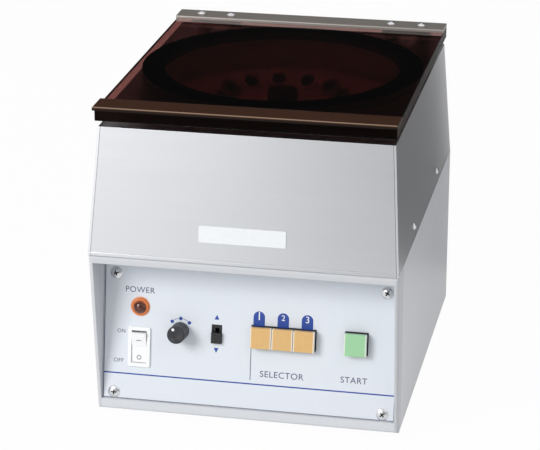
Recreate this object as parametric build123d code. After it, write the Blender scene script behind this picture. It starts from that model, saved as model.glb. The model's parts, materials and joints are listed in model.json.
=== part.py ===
from build123d import *
from math import atan, cos, degrees, radians, sin, tan
import os

# Bench centrifuge with a hinged smoked lid, a round chamber and a sloping control panel.
# Millimetres. The table top is z = 0, the front faces -Y, and X runs across the front.
# Everything is drawn about the middle of the painted case, and moved back at the end so
# that the origin is below the middle of the whole machine.

# Painted case
case_width = 260.0
case_depth = 326.0
case_height = 147.0
front_lean = 17.0
case_sheet = 1.8
case_edge_radius = 3.0
foot_height = 7.0
top_flange = 9.0
base_flange = 14.0
frame_band_top = 7.2
frame_band_bottom = 10.0

# Stainless upper cover
cover_height = 107.0
cover_front_lean = 17.0
cover_back_lean = 11.8
cover_side_lean = 6.9
cover_sheet = 1.2
cover_hem = 2.7
hem_groove = 0.5
cover_screw_pitch = 144.0
cover_screw_rise = 12.0
cover_screw_radius = 2.0
cover_head_radius = 3.6
cover_head_height = 2.0

# Chamber
chamber_y = 10.0
bowl_margin = 2.9
bowl_depth = 110.0
bowl_sheet = 1.2
bowl_corner = 12.0
bowl_rim = 5.0
deck_overhang = 2.0
floor_hole_radius = 26.0

# Control panel, tilted back in the recess of the case front
panel_setback = 28.7
panel_rise = 75.0
panel_slope = 0.17
panel_thickness = 2.0
panel_flange = 19.0
panel_flange_low = 7.0
panel_screw_side_inset = 10.6
panel_screw_high = 44.0
panel_screw_low = -60.0
panel_screw_radius = 2.0
panel_head_radius = 5.3
panel_head_height = 2.0

# Controls, across and up the slope of a panel of this half width. They spread out with the panel.
layout_half_width = 126.4
lamp_across, lamp_s = -94.3, 16.3
lamp_radius = 7.4
lamp_body_length = 20.0
lamp_nut_width = 2.0
lamp_nut_depth = 6.0
rocker_across, rocker_s = -94.5, -18.7
rocker_bezel_width, rocker_bezel_height = 19.2, 34.8
rocker_bezel_thickness = 1.6
rocker_width, rocker_length = 12.6, 26.8
rocker_swing = 18.0
rocker_room = 0.7
rocker_well = 9.0
rocker_pivot_h = -1.0
rocker_wall = 1.2
rocker_body_depth = 22.0
knob_across, knob_s = -59.0, -1.8
knob_radius = 7.6
knob_height = 17.0
knob_shaft_radius = 3.0
bushing_radius = 4.8
rotary_body_size = 24.0
rotary_body_depth = 16.0
slide_across, slide_s = -27.6, -2.4
slide_width, slide_height = 9.0, 16.2
slide_travel = 6.0
slide_stem = 3.0
slide_stem_length = 8.0
slide_body_margin = 3.0
slide_body_depth = 12.0
button_width = 17.7
button_pitch = 18.3
button_depth = 8.0
button_cap = 4.0
button_travel = 3.0
button_skirt = 5.0
button_stem = 6.0
button_stem_length = 8.0
switch_wall = 2.0
switch_body_depth = 14.0
selector_across, selector_s = 29.8, -1.4
start_across, start_s = 91.6, -0.9
start_width = 18.6

# Lid
lid_gap = 6.2
lid_thickness = 10.0
lid_side_overhang = 1.4
lid_front_overhang = 5.0
lid_back_overhang = 0.4
lip_side_overhang = 0.9
lip_front_overhang = 3.9
lip_depth = 24.6
lip_thickness = 3.2
lip_chamfer = 0.6
gasket_reach_out = 8.0
gasket_reach_in = 11.5
gasket_clearance = 0.3
strip_thickness = 3.0
strip_depth = 22.0
strip_leg = 1.8
lid_screw_setback = 8.6
lid_screw_side_inset = 35.5
lid_screw_pitch = 27.8
lid_screw_radius = 2.0
lid_head_radius = 4.4
lid_head_height = 2.4
hinge_standoff = 6.8
hinge_pin_radius = 2.0
knuckle_radius = 4.0
hinge_width = 42.0
knuckle_middle = 16.0
hinge_leaf = 2.0
leaf_reach = 21.6
bracket_drop = 26.0
bracket_screw_drop = 16.0

# Rotor
rotor_places = 12
tube_tilt = 35.0
tube_circle_radius = 55.0
shield_radius = 8.0
shield_bore = 6.8
shield_length = 76.0
shield_collar = 9.4
collar_height = 2.2
cushion_radius = 5.4
cushion_height = 4.0
shield_wall_bottom = 1.4
rotor_gap = 5.0
disc_thickness = 2.5
rotor_depth = 28.0
disc_skirt = 6.0
lower_plate_drop = 41.0
lower_plate_inset = 10.0
hub_radius = 22.0
hub_drop = 45.0
rotor_knob_radius = 13.0
rotor_knob_height = 13.0

# Drive
motor_radius = 50.0
motor_drop = 23.8
motor_length = 88.0
bell_thickness = 6.0
motor_wall = 3.0
boss_radius = 19.0
boss_height = 31.0
bearing_radius = 14.0
bearing_height = 10.0
shaft_radius = 6.0
spindle_radius = 8.0
shaft_clearance = 0.04
stator_bore = 30.0
air_gap = 0.6
stator_height = 46.0
winding_height = 8.0
mount_plate_size = 150.0
mount_plate_thickness = 3.0
pillar_offset = 60.0
pillar_radius = 7.0
isolator_radius = 10.0
isolator_height = 14.0
mount_bolt_radius = 3.0

# Base, feet and rear fittings
base_sheet = 2.0
foot_radius = 11.0
foot_side_inset = 30.0
foot_end_inset = 51.0
foot_screw_radius = 2.0
foot_recess_radius = 4.6
foot_recess_depth = 4.0
inlet_side_inset, inlet_z = 50.0, 45.0
inlet_width, inlet_height = 27.6, 20.4
inlet_flange_width, inlet_flange_height = 50.0, 24.0
inlet_depth = 24.0
inlet_screw_pitch = 40.0
inlet_screw_radius = 1.5
socket_width, socket_height = 23.0, 15.0
socket_depth = 16.0
fuse_pitch = 50.0
fuse_radius = 6.0
fuse_body_length = 30.0
fuse_cap_radius = 7.6
fuse_cap_length = 8.0
vent_count = 7
vent_width, vent_height = 60.0, 3.2
vent_pitch = 9.0
vent_x, vent_z = 62.0, 76.0
transformer_x = -62.0
transformer_gap = 42.0
core_width, core_depth, core_height = 56.0, 34.0, 54.0
winding_width, winding_depth = 30.0, 50.0
winding_low, winding_high = 14.0, 42.0
capacitor_radius, capacitor_height = 17.0, 52.0
board_width, board_depth = 190.0, 44.0
board_gap = 48.0
board_rise = 10.0
board_sheet = 1.6
standoff_radius = 3.0
standoff_side_inset, standoff_end_inset = 8.0, 6.0
relay_x, relay_pitch, relay_width, relay_height = -70.0, 22.0, 16.0, 15.0
relay_back, relay_front = 12.0, 14.0
can_pitch, can_radius, can_height = 18.0, 7.0, 22.0
terminal_x, terminal_width, terminal_height = 38.0, 44.0, 11.0
terminal_front, terminal_back = 6.0, 16.0

# Blank label plate
nameplate_width, nameplate_height = 73.0, 14.0
nameplate_thickness = 0.8
nameplate_rise = 24.8

# Clearances
fit_gap = 0.3
hole_gap = 0.15
running_gap = 0.04

# Levels and places that follow from the sizes above
half_width = case_width / 2
half_depth = case_depth / 2
deck_half_width = half_width - cover_side_lean
deck_front_y = cover_front_lean - half_depth
deck_back_y = half_depth - cover_back_lean
bowl_radius = deck_half_width - cover_sheet - bowl_rim - bowl_margin
case_z = foot_height
seam_z = case_z + case_height
deck_z = seam_z + cover_height
lid_z = deck_z + lid_gap
lid_top_z = lid_z + lid_thickness
strip_top_z = lid_top_z + strip_thickness
hinge_z = lid_z - hinge_leaf / 2
hinge_y = deck_back_y + hinge_standoff
lid_width = 2 * (deck_half_width + lid_side_overhang)
lid_front_y = deck_front_y - lid_front_overhang
lid_back_y = deck_back_y + lid_back_overhang
lip_width = lid_width + 2 * lip_side_overhang
lip_front_y = lid_front_y - lip_front_overhang
lip_back_y = lip_front_y + lip_depth
strip_front_y = lid_back_y - strip_depth
leaf_front_y = lid_back_y - leaf_reach
lid_screw_y = lid_back_y - lid_screw_setback
lid_screw_x = lid_width / 2 - lid_screw_side_inset
mouth_half = half_width - 2 * case_sheet
mouth_low = case_z + frame_band_bottom
mouth_high = seam_z - frame_band_top
base_top_z = case_z + base_sheet
bowl_top_z = deck_z - cover_sheet
bowl_floor_z = bowl_top_z - bowl_depth
gasket_outer = bowl_radius + gasket_reach_out
gasket_inner = bowl_radius - gasket_reach_in
disc_top_z = deck_z - rotor_depth
disc_radius = bowl_radius - rotor_gap
lower_plate_radius = disc_radius - lower_plate_inset
motor_top_z = bowl_floor_z - motor_drop
boss_top_z = motor_top_z + boss_height
panel_angle = atan(panel_slope)
panel_y = panel_setback - half_depth
panel_z = case_z + panel_rise
panel_high_s = (mouth_high - panel_z) / cos(panel_angle)
panel_low_s = (mouth_low - panel_z) / cos(panel_angle)
panel_screw_x = mouth_half - panel_screw_side_inset
control_spread = mouth_half / layout_half_width
lamp_x = lamp_across * control_spread
rocker_x = rocker_across * control_spread
knob_x = knob_across * control_spread
slide_x = slide_across * control_spread
selector_x = selector_across * control_spread
start_x = start_across * control_spread
panel_plane = Plane(
    origin=(0, panel_y, panel_z),
    x_dir=(1, 0, 0),
    z_dir=(0, -cos(panel_angle), sin(panel_angle)),
)
motor_low_z = motor_top_z - motor_length
isolator_z = motor_top_z - isolator_height
upper_bearing_z = boss_top_z - bearing_height - 4
lower_bearing_z = motor_low_z - bearing_height + 2
stator_z = motor_low_z + (motor_length - stator_height) / 2
hub_low_z = disc_top_z - hub_drop
knob_base_z = disc_top_z
bracket_screw_z = deck_z - bracket_screw_drop
board_z = base_top_z + board_rise
foot_x = half_width - foot_side_inset
foot_y = half_depth - foot_end_inset
inlet_x = inlet_side_inset - half_width
fuse_x = inlet_x + fuse_pitch
transformer_y = chamber_y + pillar_offset + transformer_gap
board_y = chamber_y - pillar_offset - board_gap
rear_overhang = fuse_cap_length


def block(x0, x1, y0, y1, z0, z1):
    return Pos((x0 + x1) / 2, (y0 + y1) / 2, (z0 + z1) / 2) * Box(x1 - x0, y1 - y0, z1 - z0)


def post(x, y, z0, z1, radius):
    return Pos(x, y, (z0 + z1) / 2) * Cylinder(radius, z1 - z0)


def ring(x, y, z0, z1, outer, inner):
    return post(x, y, z0, z1, outer) - post(x, y, z0 - 1, z1 + 1, inner)


def side_prism(points, x0, x1):
    face = make_face(Plane.YZ.offset(x0) * Polyline(*points, close=True))
    return extrude(face, x1 - x0, dir=(1, 0, 0))


def joined(shapes):
    return Compound([solid for shape in shapes for solid in shape.solids()])


def panel_block(x, s, width, height, h0, h1):
    return panel_plane * Pos(x, s, (h0 + h1) / 2) * Box(width, height, h1 - h0)


def rounded_plate(width, height, radius, thickness):
    """A plate with rounded corners, lying on z = 0."""
    return extrude(RectangleRounded(width, height, radius), thickness)


def panel_post(x, s, radius, h0, h1):
    return panel_plane * Pos(x, s, (h0 + h1) / 2) * Cylinder(radius, h1 - h0)


def front_y(z):
    return -half_depth + front_lean * (seam_z - z) / case_height


def panel_face_y(z):
    return panel_y + (z - panel_z) * panel_slope


def cover_half_width(z):
    return half_width - cover_side_lean * (z - seam_z) / cover_height


def cover_back_y(z):
    return half_depth - cover_back_lean * (z - seam_z) / cover_height


def cover_section(z, inset):
    front = -half_depth + cover_front_lean * (z - seam_z) / cover_height + inset
    back = cover_back_y(z) - inset
    width = 2 * (cover_half_width(z) - inset)
    return Pos(0, (front + back) / 2, z) * Rectangle(width, back - front)


def cover_block(z0, z1, inset):
    return loft([cover_section(z0, inset), cover_section(z1, inset)], ruled=True)


def both(x):
    return (-x, x)


# Places that several pieces share
panel_screws_at = [(x, s) for x in both(panel_screw_x) for s in (panel_screw_low, panel_screw_high)]
feet_at = [(x, y) for x in both(foot_x) for y in both(foot_y)]
pillars_at = [(x, chamber_y + y) for x in both(pillar_offset) for y in both(pillar_offset)]
cover_screws_at = [(side, y) for side in both(1) for y in both(cover_screw_pitch / 2)]
hinges_at = both(lid_screw_x)
lid_screws_at = [x + dx for x in hinges_at for dx in both(lid_screw_pitch / 2)]
cover_screw_z = seam_z + cover_screw_rise
vents_at = [vent_z + vent_pitch * (n - (vent_count - 1) / 2) for n in range(vent_count)]
selectors_at = [selector_x + button_pitch * (n - 1) for n in range(3)]
standoffs_at = [
    (x, board_y + y) for x in both(board_width / 2 - standoff_side_inset)
    for y in both(board_depth / 2 - standoff_end_inset)
]


# Painted lower case with the framed recess for the panel

def screw_tab(side, y):
    """An upright tab inside the cover's side wall, which the cover's side screw goes into."""
    low = seam_z - case_sheet
    high = cover_screw_z + 8
    reach = cover_sheet + hole_gap
    outer = [(side * (cover_half_width(z) - reach), z) for z in (low, high)]
    inner = [(side * (cover_half_width(z) - reach - case_sheet), z) for z in (high, low)]
    face = make_face(Plane.XZ.offset(-y - 10) * Polyline(*outer, *inner, close=True))
    return extrude(face, 20, dir=(0, -1, 0))


def cover_screw_place(side, y):
    """The place of a side screw on the cover, with local Z out of the leaning wall."""
    lean = degrees(atan(cover_side_lean / cover_height))
    place = Pos(side * cover_half_width(cover_screw_z), y, cover_screw_z)
    return place * Rot(0, side * (90 - lean), 0)


def cover_screw_hole(side, y):
    return cover_screw_place(side, y) * Cylinder(cover_screw_radius + hole_gap, 14)


def bracket_screw_place(x):
    """The place of a hinge bracket's screw, with local Z out of the leaning back wall."""
    lean = degrees(atan(cover_back_lean / cover_height))
    return Pos(x, cover_back_y(bracket_screw_z), bracket_screw_z) * Rot(lean - 90, 0, 0)


def bracket_screw_hole(x):
    return bracket_screw_place(x) * Cylinder(lid_screw_radius + hole_gap, 14)


def lower_case():
    back = half_depth
    outline = [(front_y(case_z), case_z), (front_y(seam_z), seam_z), (back, seam_z), (back, case_z)]
    shell = side_prism(outline, -half_width, half_width)
    shell = fillet(shell.faces().sort_by(Axis.Y)[0].edges(), case_edge_radius)
    top = seam_z - case_sheet
    inner = [
        (front_y(case_z - 1) + case_sheet, case_z - 1),
        (front_y(top) + case_sheet, top),
        (back - case_sheet, top),
        (back - case_sheet, case_z - 1),
    ]
    inner_half = half_width - case_sheet
    shell -= side_prism(inner, -inner_half, inner_half)
    shell -= block(
        top_flange - half_width, half_width - top_flange,
        top_flange - half_depth, half_depth - top_flange, top - 1, seam_z + 1,
    )
    ledge = block(-inner_half, inner_half, front_y(base_top_z) + case_sheet / 2, back - case_sheet,
                  base_top_z, base_top_z + case_sheet)
    ledge -= block(
        base_flange - inner_half, inner_half - base_flange,
        front_y(base_top_z) + base_flange, back - base_flange, case_z, base_top_z + 9,
    )
    shell += ledge

    panel_back = panel_thickness / cos(panel_angle)
    flange_back = panel_back + case_sheet
    low = mouth_low - case_sheet
    high = mouth_high + case_sheet
    tube = [
        (front_y(low) + case_sheet / 2, low),
        (front_y(high) + case_sheet / 2, high),
        (panel_face_y(high) + flange_back, high),
        (panel_face_y(low) + flange_back, low),
    ]
    shell += side_prism(tube, -inner_half, inner_half)
    recess = [
        (-case_depth, mouth_low),
        (-case_depth, mouth_high),
        (panel_face_y(mouth_high) + panel_back, mouth_high),
        (panel_face_y(mouth_low) + panel_back, mouth_low),
    ]
    shell -= side_prism(recess, -mouth_half, mouth_half)
    shell -= block(
        panel_flange - mouth_half, mouth_half - panel_flange, -case_depth / 2, 0,
        mouth_low + panel_flange_low, mouth_high - panel_flange_low,
    )
    for x, s in panel_screws_at:
        shell -= panel_post(x, s, panel_screw_radius + hole_gap, -12, 2)
    for side, y in cover_screws_at:
        shell += screw_tab(side, y)
        shell -= cover_screw_hole(side, y)

    shell -= block(
        inlet_x - inlet_width / 2 - fit_gap, inlet_x + inlet_width / 2 + fit_gap,
        back - 9, back + 1,
        inlet_z - inlet_height / 2 - fit_gap, inlet_z + inlet_height / 2 + fit_gap,
    )
    shell -= Pos(fuse_x, back, inlet_z) * Rot(90, 0, 0) * Cylinder(fuse_radius + hole_gap, 9)
    for x in both(inlet_screw_pitch / 2):
        hole = Rot(90, 0, 0) * Cylinder(inlet_screw_radius + hole_gap, 9)
        shell -= Pos(inlet_x + x, back, inlet_z) * hole
    for z in vents_at:
        shell -= block(vent_x - vent_width / 2, vent_x + vent_width / 2, back - 9, back + 1,
                       z - vent_height / 2, z + vent_height / 2)
    return shell


def base_plate():
    plate = block(
        case_sheet + fit_gap - half_width, half_width - case_sheet - fit_gap,
        front_y(case_z) + case_sheet + fit_gap, half_depth - case_sheet - fit_gap,
        case_z, base_top_z,
    )
    for x, y in feet_at:
        plate -= post(x, y, case_z - 1, base_top_z + 1, foot_screw_radius + hole_gap)
    for n in range(vent_count):
        x = vent_pitch * (n - (vent_count - 1) / 2)
        plate -= block(x - vent_height / 2, x + vent_height / 2, chamber_y - vent_width / 2,
                       chamber_y + vent_width / 2, case_z - 1, base_top_z + 1)
    return plate


def rubber_feet():
    feet = []
    for x, y in feet_at:
        foot = Pos(x, y, foot_height / 2) * Cone(foot_radius - 1.5, foot_radius, foot_height)
        foot -= post(x, y, -1, foot_recess_depth, foot_recess_radius)
        feet.append(foot - post(x, y, -1, foot_height + 1, foot_screw_radius + hole_gap))
    return joined(feet)


def foot_screws():
    screws = []
    for x, y in feet_at:
        head = post(x, y, foot_recess_depth - 2.2, foot_recess_depth, foot_recess_radius - 0.6)
        shank = post(x, y, foot_recess_depth, base_top_z + 4, foot_screw_radius)
        slot = block(x - 0.5, x + 0.5, y - 3, y + 3, 0, foot_recess_depth - 1.4)
        screws.append(head + shank - slot)
    return joined(screws)


# Stainless upper cover and its screws

def stainless_cover():
    shell = cover_block(seam_z, deck_z, 0)
    shell -= cover_block(seam_z + cover_sheet, deck_z - cover_sheet, cover_sheet)
    shell -= block(
        top_flange - half_width, half_width - top_flange,
        top_flange - half_depth, half_depth - top_flange, seam_z - 1, seam_z + cover_sheet + 1,
    )
    groove_low = seam_z + cover_hem
    groove = cover_block(groove_low, groove_low + hem_groove, -1)
    groove -= cover_block(groove_low, groove_low + hem_groove, cover_sheet / 3)
    shell -= groove
    shell -= post(0, chamber_y, deck_z - 9, deck_z + 1, bowl_radius - deck_overhang)
    for side, y in cover_screws_at:
        shell -= cover_screw_hole(side, y)
    tab_cut = cover_sheet + hole_gap
    for side, y in cover_screws_at:
        low = side * (half_width - top_flange - 1)
        high = side * (cover_half_width(seam_z + cover_sheet) - tab_cut + hole_gap)
        shell -= block(min(low, high), max(low, high), y - 10.5, y + 10.5,
                       seam_z - 1, seam_z + cover_sheet + 0.5)
    for x in hinges_at:
        for dx in both(hinge_width / 3):
            shell -= bracket_screw_hole(x + dx)
    return shell


def dome_head(radius, height):
    """A low dome with its flat side on z = 0."""
    sphere_radius = (radius ** 2 + height ** 2) / (2 * height)
    sphere = Pos(0, 0, height - sphere_radius) * Sphere(sphere_radius)
    return sphere & Pos(0, 0, height / 2) * Cylinder(radius, height)


def cover_screws():
    screw = dome_head(cover_head_radius, cover_head_height)
    screw += Pos(0, 0, -3) * Cylinder(cover_screw_radius, 6)
    return joined(cover_screw_place(side, y) * screw for side, y in cover_screws_at)


# Chamber bowl

def chamber_bowl():
    outer_radius = bowl_radius + bowl_sheet
    outer = post(0, chamber_y, bowl_floor_z - bowl_sheet, bowl_top_z, outer_radius)
    outer = fillet(outer.edges().sort_by(Axis.Z)[0], bowl_corner)
    inner = post(0, chamber_y, bowl_floor_z, bowl_top_z + 9, bowl_radius)
    inner = fillet(inner.edges().sort_by(Axis.Z)[0], bowl_corner - bowl_sheet)
    rim = ring(0, chamber_y, bowl_top_z - bowl_sheet, bowl_top_z, outer_radius + bowl_rim,
               bowl_radius + bowl_sheet / 2)
    bowl = outer - inner + rim
    return bowl - post(0, chamber_y, 0, bowl_floor_z + 9, floor_hole_radius)


def bowl_boot():
    top = bowl_floor_z - bowl_sheet
    boot = ring(0, chamber_y, top - 3, top, floor_hole_radius + 8, boss_radius)
    return boot + ring(0, chamber_y, top, top + 4, floor_hole_radius - fit_gap, boss_radius)


# Drive: pillars, rubber mounts, mount plate, motor and its bearings

def mount_pillars():
    return joined(post(x, y, base_top_z, isolator_z, pillar_radius) for x, y in pillars_at)


def rubber_isolators():
    pads = []
    for x, y in pillars_at:
        pad = post(x, y, isolator_z, motor_top_z, isolator_radius)
        pads.append(pad - post(x, y, motor_top_z - 8, motor_top_z + 1, mount_bolt_radius + hole_gap))
    return joined(pads)


def motor_mount_plate():
    half = mount_plate_size / 2
    top = motor_top_z + mount_plate_thickness
    plate = block(-half, half, chamber_y - half, chamber_y + half, motor_top_z, top)
    plate -= post(0, chamber_y, 0, deck_z, boss_radius + 1)
    for x, y in pillars_at:
        plate -= post(x, y, 0, deck_z, mount_bolt_radius + hole_gap)
    return plate


def mount_bolts():
    top = motor_top_z + mount_plate_thickness
    bolts = []
    for x, y in pillars_at:
        head = Pos(x, y, top) * extrude(RegularPolygon(5.5, 6), 4)
        bolts.append(head + post(x, y, motor_top_z - 7, top, mount_bolt_radius))
    return joined(bolts)


def motor_can():
    return ring(0, chamber_y, motor_low_z + bell_thickness, motor_top_z - bell_thickness,
                motor_radius, motor_radius - motor_wall)


def bearing_seat(z):
    """The bore for a bearing, with a smaller hole for the shaft on either side."""
    seat = post(0, chamber_y, z, z + bearing_height, bearing_radius)
    return seat + post(0, chamber_y, z - 90, z + 90, spindle_radius + 1)


def upper_bell():
    bell = post(0, chamber_y, motor_top_z - bell_thickness, motor_top_z, motor_radius)
    bell += post(0, chamber_y, motor_top_z, boss_top_z, boss_radius)
    return bell - bearing_seat(upper_bearing_z)


def lower_bell():
    bell = post(0, chamber_y, motor_low_z, motor_low_z + bell_thickness, motor_radius)
    bell += post(0, chamber_y, lower_bearing_z - 3, motor_low_z, boss_radius)
    return bell - post(0, chamber_y, lower_bearing_z, motor_top_z, bearing_radius)


def bearings():
    return joined(
        ring(0, chamber_y, z, z + bearing_height, bearing_radius, shaft_radius + shaft_clearance)
        for z in (lower_bearing_z, upper_bearing_z)
    )


def stator():
    """The laminated core, with the end turns of its winding above and below."""
    top = stator_z + stator_height
    outer = motor_radius - motor_wall
    core = ring(0, chamber_y, stator_z, top, outer, stator_bore)
    turns = [ring(0, chamber_y, z, z + winding_height, outer - 4, stator_bore + 2)
             for z in (stator_z - winding_height, top)]
    return joined([core, *turns])


def armature():
    return ring(0, chamber_y, stator_z + 1, stator_z + stator_height - 1,
                stator_bore - air_gap, spindle_radius)


def drive_shaft():
    shaft = post(0, chamber_y, lower_bearing_z + 1, knob_base_z + rotor_knob_height - 4, shaft_radius)
    shaft += post(0, chamber_y, motor_low_z + bell_thickness + 2, upper_bearing_z - 1, spindle_radius)
    return shaft + post(0, chamber_y, hub_low_z - 4, hub_low_z, spindle_radius + 3)


# Rotor: plates, tube shields with their cushions, and the knob that holds it on the shaft

def tube_place(number):
    """The place of one tube, with its axis along local Z, pointing up and out of the mouth."""
    turn = Rot(0, 0, (number + 0.5) * 360 / rotor_places)
    return Pos(0, chamber_y, disc_top_z) * turn * Pos(tube_circle_radius, 0, 0) * Rot(0, -tube_tilt, 0)


def tube_holes():
    hole = Cylinder(shield_radius + fit_gap, 3 * shield_length)
    return [tube_place(number) * hole for number in range(rotor_places)]


def rotor_disc():
    disc = post(0, chamber_y, disc_top_z - disc_thickness, disc_top_z, disc_radius)
    disc += ring(0, chamber_y, disc_top_z - disc_skirt, disc_top_z, disc_radius,
                 disc_radius - disc_thickness)
    disc += post(0, chamber_y, hub_low_z, disc_top_z, hub_radius)
    disc -= post(0, chamber_y, hub_low_z - 1, disc_top_z + 1, shaft_radius)
    low = disc_top_z - lower_plate_drop
    disc += ring(0, chamber_y, low - disc_thickness, low, lower_plate_radius, hub_radius - 1)
    for hole in tube_holes():
        disc -= hole
    return disc


def tube_shield(number):
    above = shield_collar * tan(radians(tube_tilt)) + collar_height + fit_gap
    low = above - shield_length
    tube = Pos(0, 0, (low + above) / 2) * Cylinder(shield_radius, shield_length)
    tube = fillet(tube.edges().sort_by(Axis.Z)[0], shield_radius / 2)
    tube += Pos(0, 0, above - collar_height / 2) * Cylinder(shield_collar, collar_height)
    cushion_top = low + shield_wall_bottom + cushion_height
    tube -= Pos(0, 0, (cushion_top + above + 1) / 2) * Cylinder(shield_bore, above + 1 - cushion_top)
    pocket = Cylinder(cushion_radius, cushion_height)
    tube -= Pos(0, 0, cushion_top - cushion_height / 2) * pocket
    return tube_place(number) * tube


def shield_cushions():
    above = shield_collar * tan(radians(tube_tilt)) + collar_height + fit_gap
    middle = above - shield_length + shield_wall_bottom + cushion_height / 2
    pad = Pos(0, 0, middle) * Cylinder(cushion_radius, cushion_height)
    return joined(tube_place(number) * pad for number in range(rotor_places))


def rotor_knob():
    grip = Pos(0, chamber_y, knob_base_z + rotor_knob_height / 2) * Cylinder(
        rotor_knob_radius, rotor_knob_height
    )
    grip = fillet(grip.edges().group_by(Axis.Z)[-1], 2)
    for n in range(rotor_places):
        turn = Pos(0, chamber_y, 0) * Rot(0, 0, n * 360 / rotor_places)
        grip -= turn * post(rotor_knob_radius + 1.2, 0, 0, deck_z + 9, 2.4)
    bore_top = knob_base_z + rotor_knob_height - 3
    return grip - post(0, chamber_y, 0, bore_top, shaft_radius)


# Control panel and what is mounted in it

def control_panel():
    edge = fit_gap + panel_thickness * tan(panel_angle)
    height = panel_high_s - panel_low_s - 2 * edge
    panel = panel_block(0, (panel_low_s + panel_high_s) / 2, 2 * (mouth_half - fit_gap), height,
                        -panel_thickness, 0)
    for x, s in panel_screws_at:
        panel -= panel_post(x, s, panel_screw_radius + hole_gap, -9, 9)
    cut = 2 * fit_gap
    panel -= panel_post(lamp_x, lamp_s, lamp_radius - 1.4, -9, 9)
    panel -= panel_block(rocker_x, rocker_s, rocker_width + 2 * rocker_wall + cut,
                         rocker_length + 2 * rocker_wall + cut, -9, 9)
    panel -= panel_post(knob_x, knob_s, bushing_radius + hole_gap, -9, 9)
    panel -= panel_block(slide_x, slide_s, slide_width, slide_height, -9, 9)
    panel -= panel_block(selector_x, selector_s, 2 * button_pitch + button_width + 2 * cut,
                         button_width + 2 * cut, -9, 9)
    panel -= panel_block(start_x, start_s, start_width + 2 * cut, start_width + 2 * cut, -9, 9)
    return panel


def cross_recess(size, depth):
    """A cross-shaped driver recess below z = 0."""
    bar = Pos(0, 0, -depth / 2) * Box(size, size / 4, depth)
    return bar + Rot(0, 0, 90) * bar


def panel_screws():
    screws = []
    for number, (x, s) in enumerate(panel_screws_at):
        screw = dome_head(panel_head_radius, panel_head_height)
        screw -= Pos(0, 0, panel_head_height) * Rot(0, 0, 20 * number) * cross_recess(4.6, 1.4)
        screw += Pos(0, 0, -3.5) * Cylinder(panel_screw_radius, 7)
        screws.append(panel_plane * Pos(x, s, 0) * screw)
    return joined(screws)


def power_lamp():
    lens = Cylinder(lamp_radius, 2)
    lens = Pos(0, 0, 1) * fillet(lens.edges().group_by(Axis.Z)[-1], 0.8)
    lens += Pos(0, 0, 2) * dome_head(lamp_radius - 1.8, 4)
    return panel_plane * Pos(lamp_x, lamp_s, 0) * lens


def lamp_holder():
    holder = panel_post(lamp_x, lamp_s, lamp_radius - 1.6, -lamp_body_length, 0)
    nut = panel_post(lamp_x, lamp_s, lamp_radius + lamp_nut_width, -lamp_nut_depth, -panel_thickness)
    return holder + nut


def rocker_switch():
    """The fixed frame and body of the power switch, with the well that the rocker tilts in."""
    bezel = rounded_plate(rocker_bezel_width, rocker_bezel_height, 1.6, rocker_bezel_thickness)
    frame = panel_plane * Pos(rocker_x, rocker_s, 0) * bezel
    frame += panel_block(rocker_x, rocker_s, rocker_width + 2 * rocker_wall,
                         rocker_length + 2 * rocker_wall, -rocker_body_depth, 0)
    frame -= panel_block(rocker_x, rocker_s, rocker_width + 2 * fit_gap, rocker_length + 2 * rocker_room,
                         -rocker_well, 9)
    return frame


def power_rocker():
    """The rocker, off: its lower half is pressed in. It tilts about a pin across the switch."""
    half = rocker_length / 2
    outline = [
        (-half, 3.4), (0, 1.6), (half, 3.4), (half - 1, -1.6), (3, -4.4), (-3, -4.4), (1 - half, -1.6),
    ]
    rocker = side_prism(outline, -rocker_width / 2, rocker_width / 2)
    rocker = Pos(0, 0, rocker_pivot_h) * Rot(rocker_swing / 2, 0, 0) * rocker
    return panel_plane * Pos(rocker_x, rocker_s, 0) * rocker


def rotary_switch():
    size, depth = rotary_body_size, rotary_body_depth
    body = panel_block(knob_x, knob_s, size, size, -depth, -panel_thickness)
    body += panel_post(knob_x, knob_s, bushing_radius, -depth, 2 * fit_gap)
    return body - panel_post(knob_x, knob_s, knob_shaft_radius + running_gap, 2 - depth, 9)


def mode_knob():
    """The knob, with the switch shaft that it is pressed onto."""
    shaft_end = knob_height - 4
    knob = Cylinder(knob_radius, knob_height)
    knob = fillet(knob.edges().group_by(Axis.Z)[-1], 0.9)
    knob = panel_plane * Pos(knob_x, knob_s, 1 + knob_height / 2) * knob
    knob -= panel_post(knob_x, knob_s, knob_shaft_radius, 0, shaft_end)
    shaft = panel_post(knob_x, knob_s, knob_shaft_radius, 3 - rotary_body_depth, shaft_end)
    return joined([knob, shaft])


def slide_switch():
    body = panel_block(slide_x, slide_s, slide_width + 2 * slide_body_margin,
                       slide_height + 8, -slide_body_depth, -panel_thickness)
    slot = slide_stem + slide_travel + 2 * fit_gap
    return body - panel_block(slide_x, slide_s, slide_stem + 2 * fit_gap, slot,
                              -slide_stem_length - 1, 0)


def slide_knob():
    s = slide_s - slide_travel / 2
    width = slide_width - 2 * fit_gap
    knob = panel_block(slide_x, s, width, slide_height - slide_travel - 4 * fit_gap,
                       fit_gap - panel_thickness, 3.6)
    for n in range(3):
        ridge = s + 2.4 * (n - 1)
        knob -= panel_block(slide_x, ridge, width + 1, 0.8, 3.0, 4)
    return knob + panel_block(slide_x, s, slide_stem, slide_stem, -slide_stem_length, 0)


def switch_body(x, s, width, height, stems):
    """A bank of push switches behind the panel, open at the front where the plungers move."""
    deep = button_skirt + button_travel + 1
    body = panel_block(x, s, width + 2 * switch_wall, height + 2 * switch_wall,
                       -deep - switch_body_depth, -panel_thickness)
    body -= panel_block(x, s, width + 4 * fit_gap, height + 4 * fit_gap, -deep, 0)
    for stem_x in stems:
        body -= panel_block(stem_x, s, button_stem + 2 * fit_gap, button_stem + 2 * fit_gap,
                            -deep - button_stem_length - button_travel - 1, 0)
    return body


def selector_switch_bank():
    width = 2 * button_pitch + button_width
    return switch_body(selector_x, selector_s, width, button_width, selectors_at)


def start_switch():
    return switch_body(start_x, start_s, start_width, start_width, [start_x])


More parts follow.
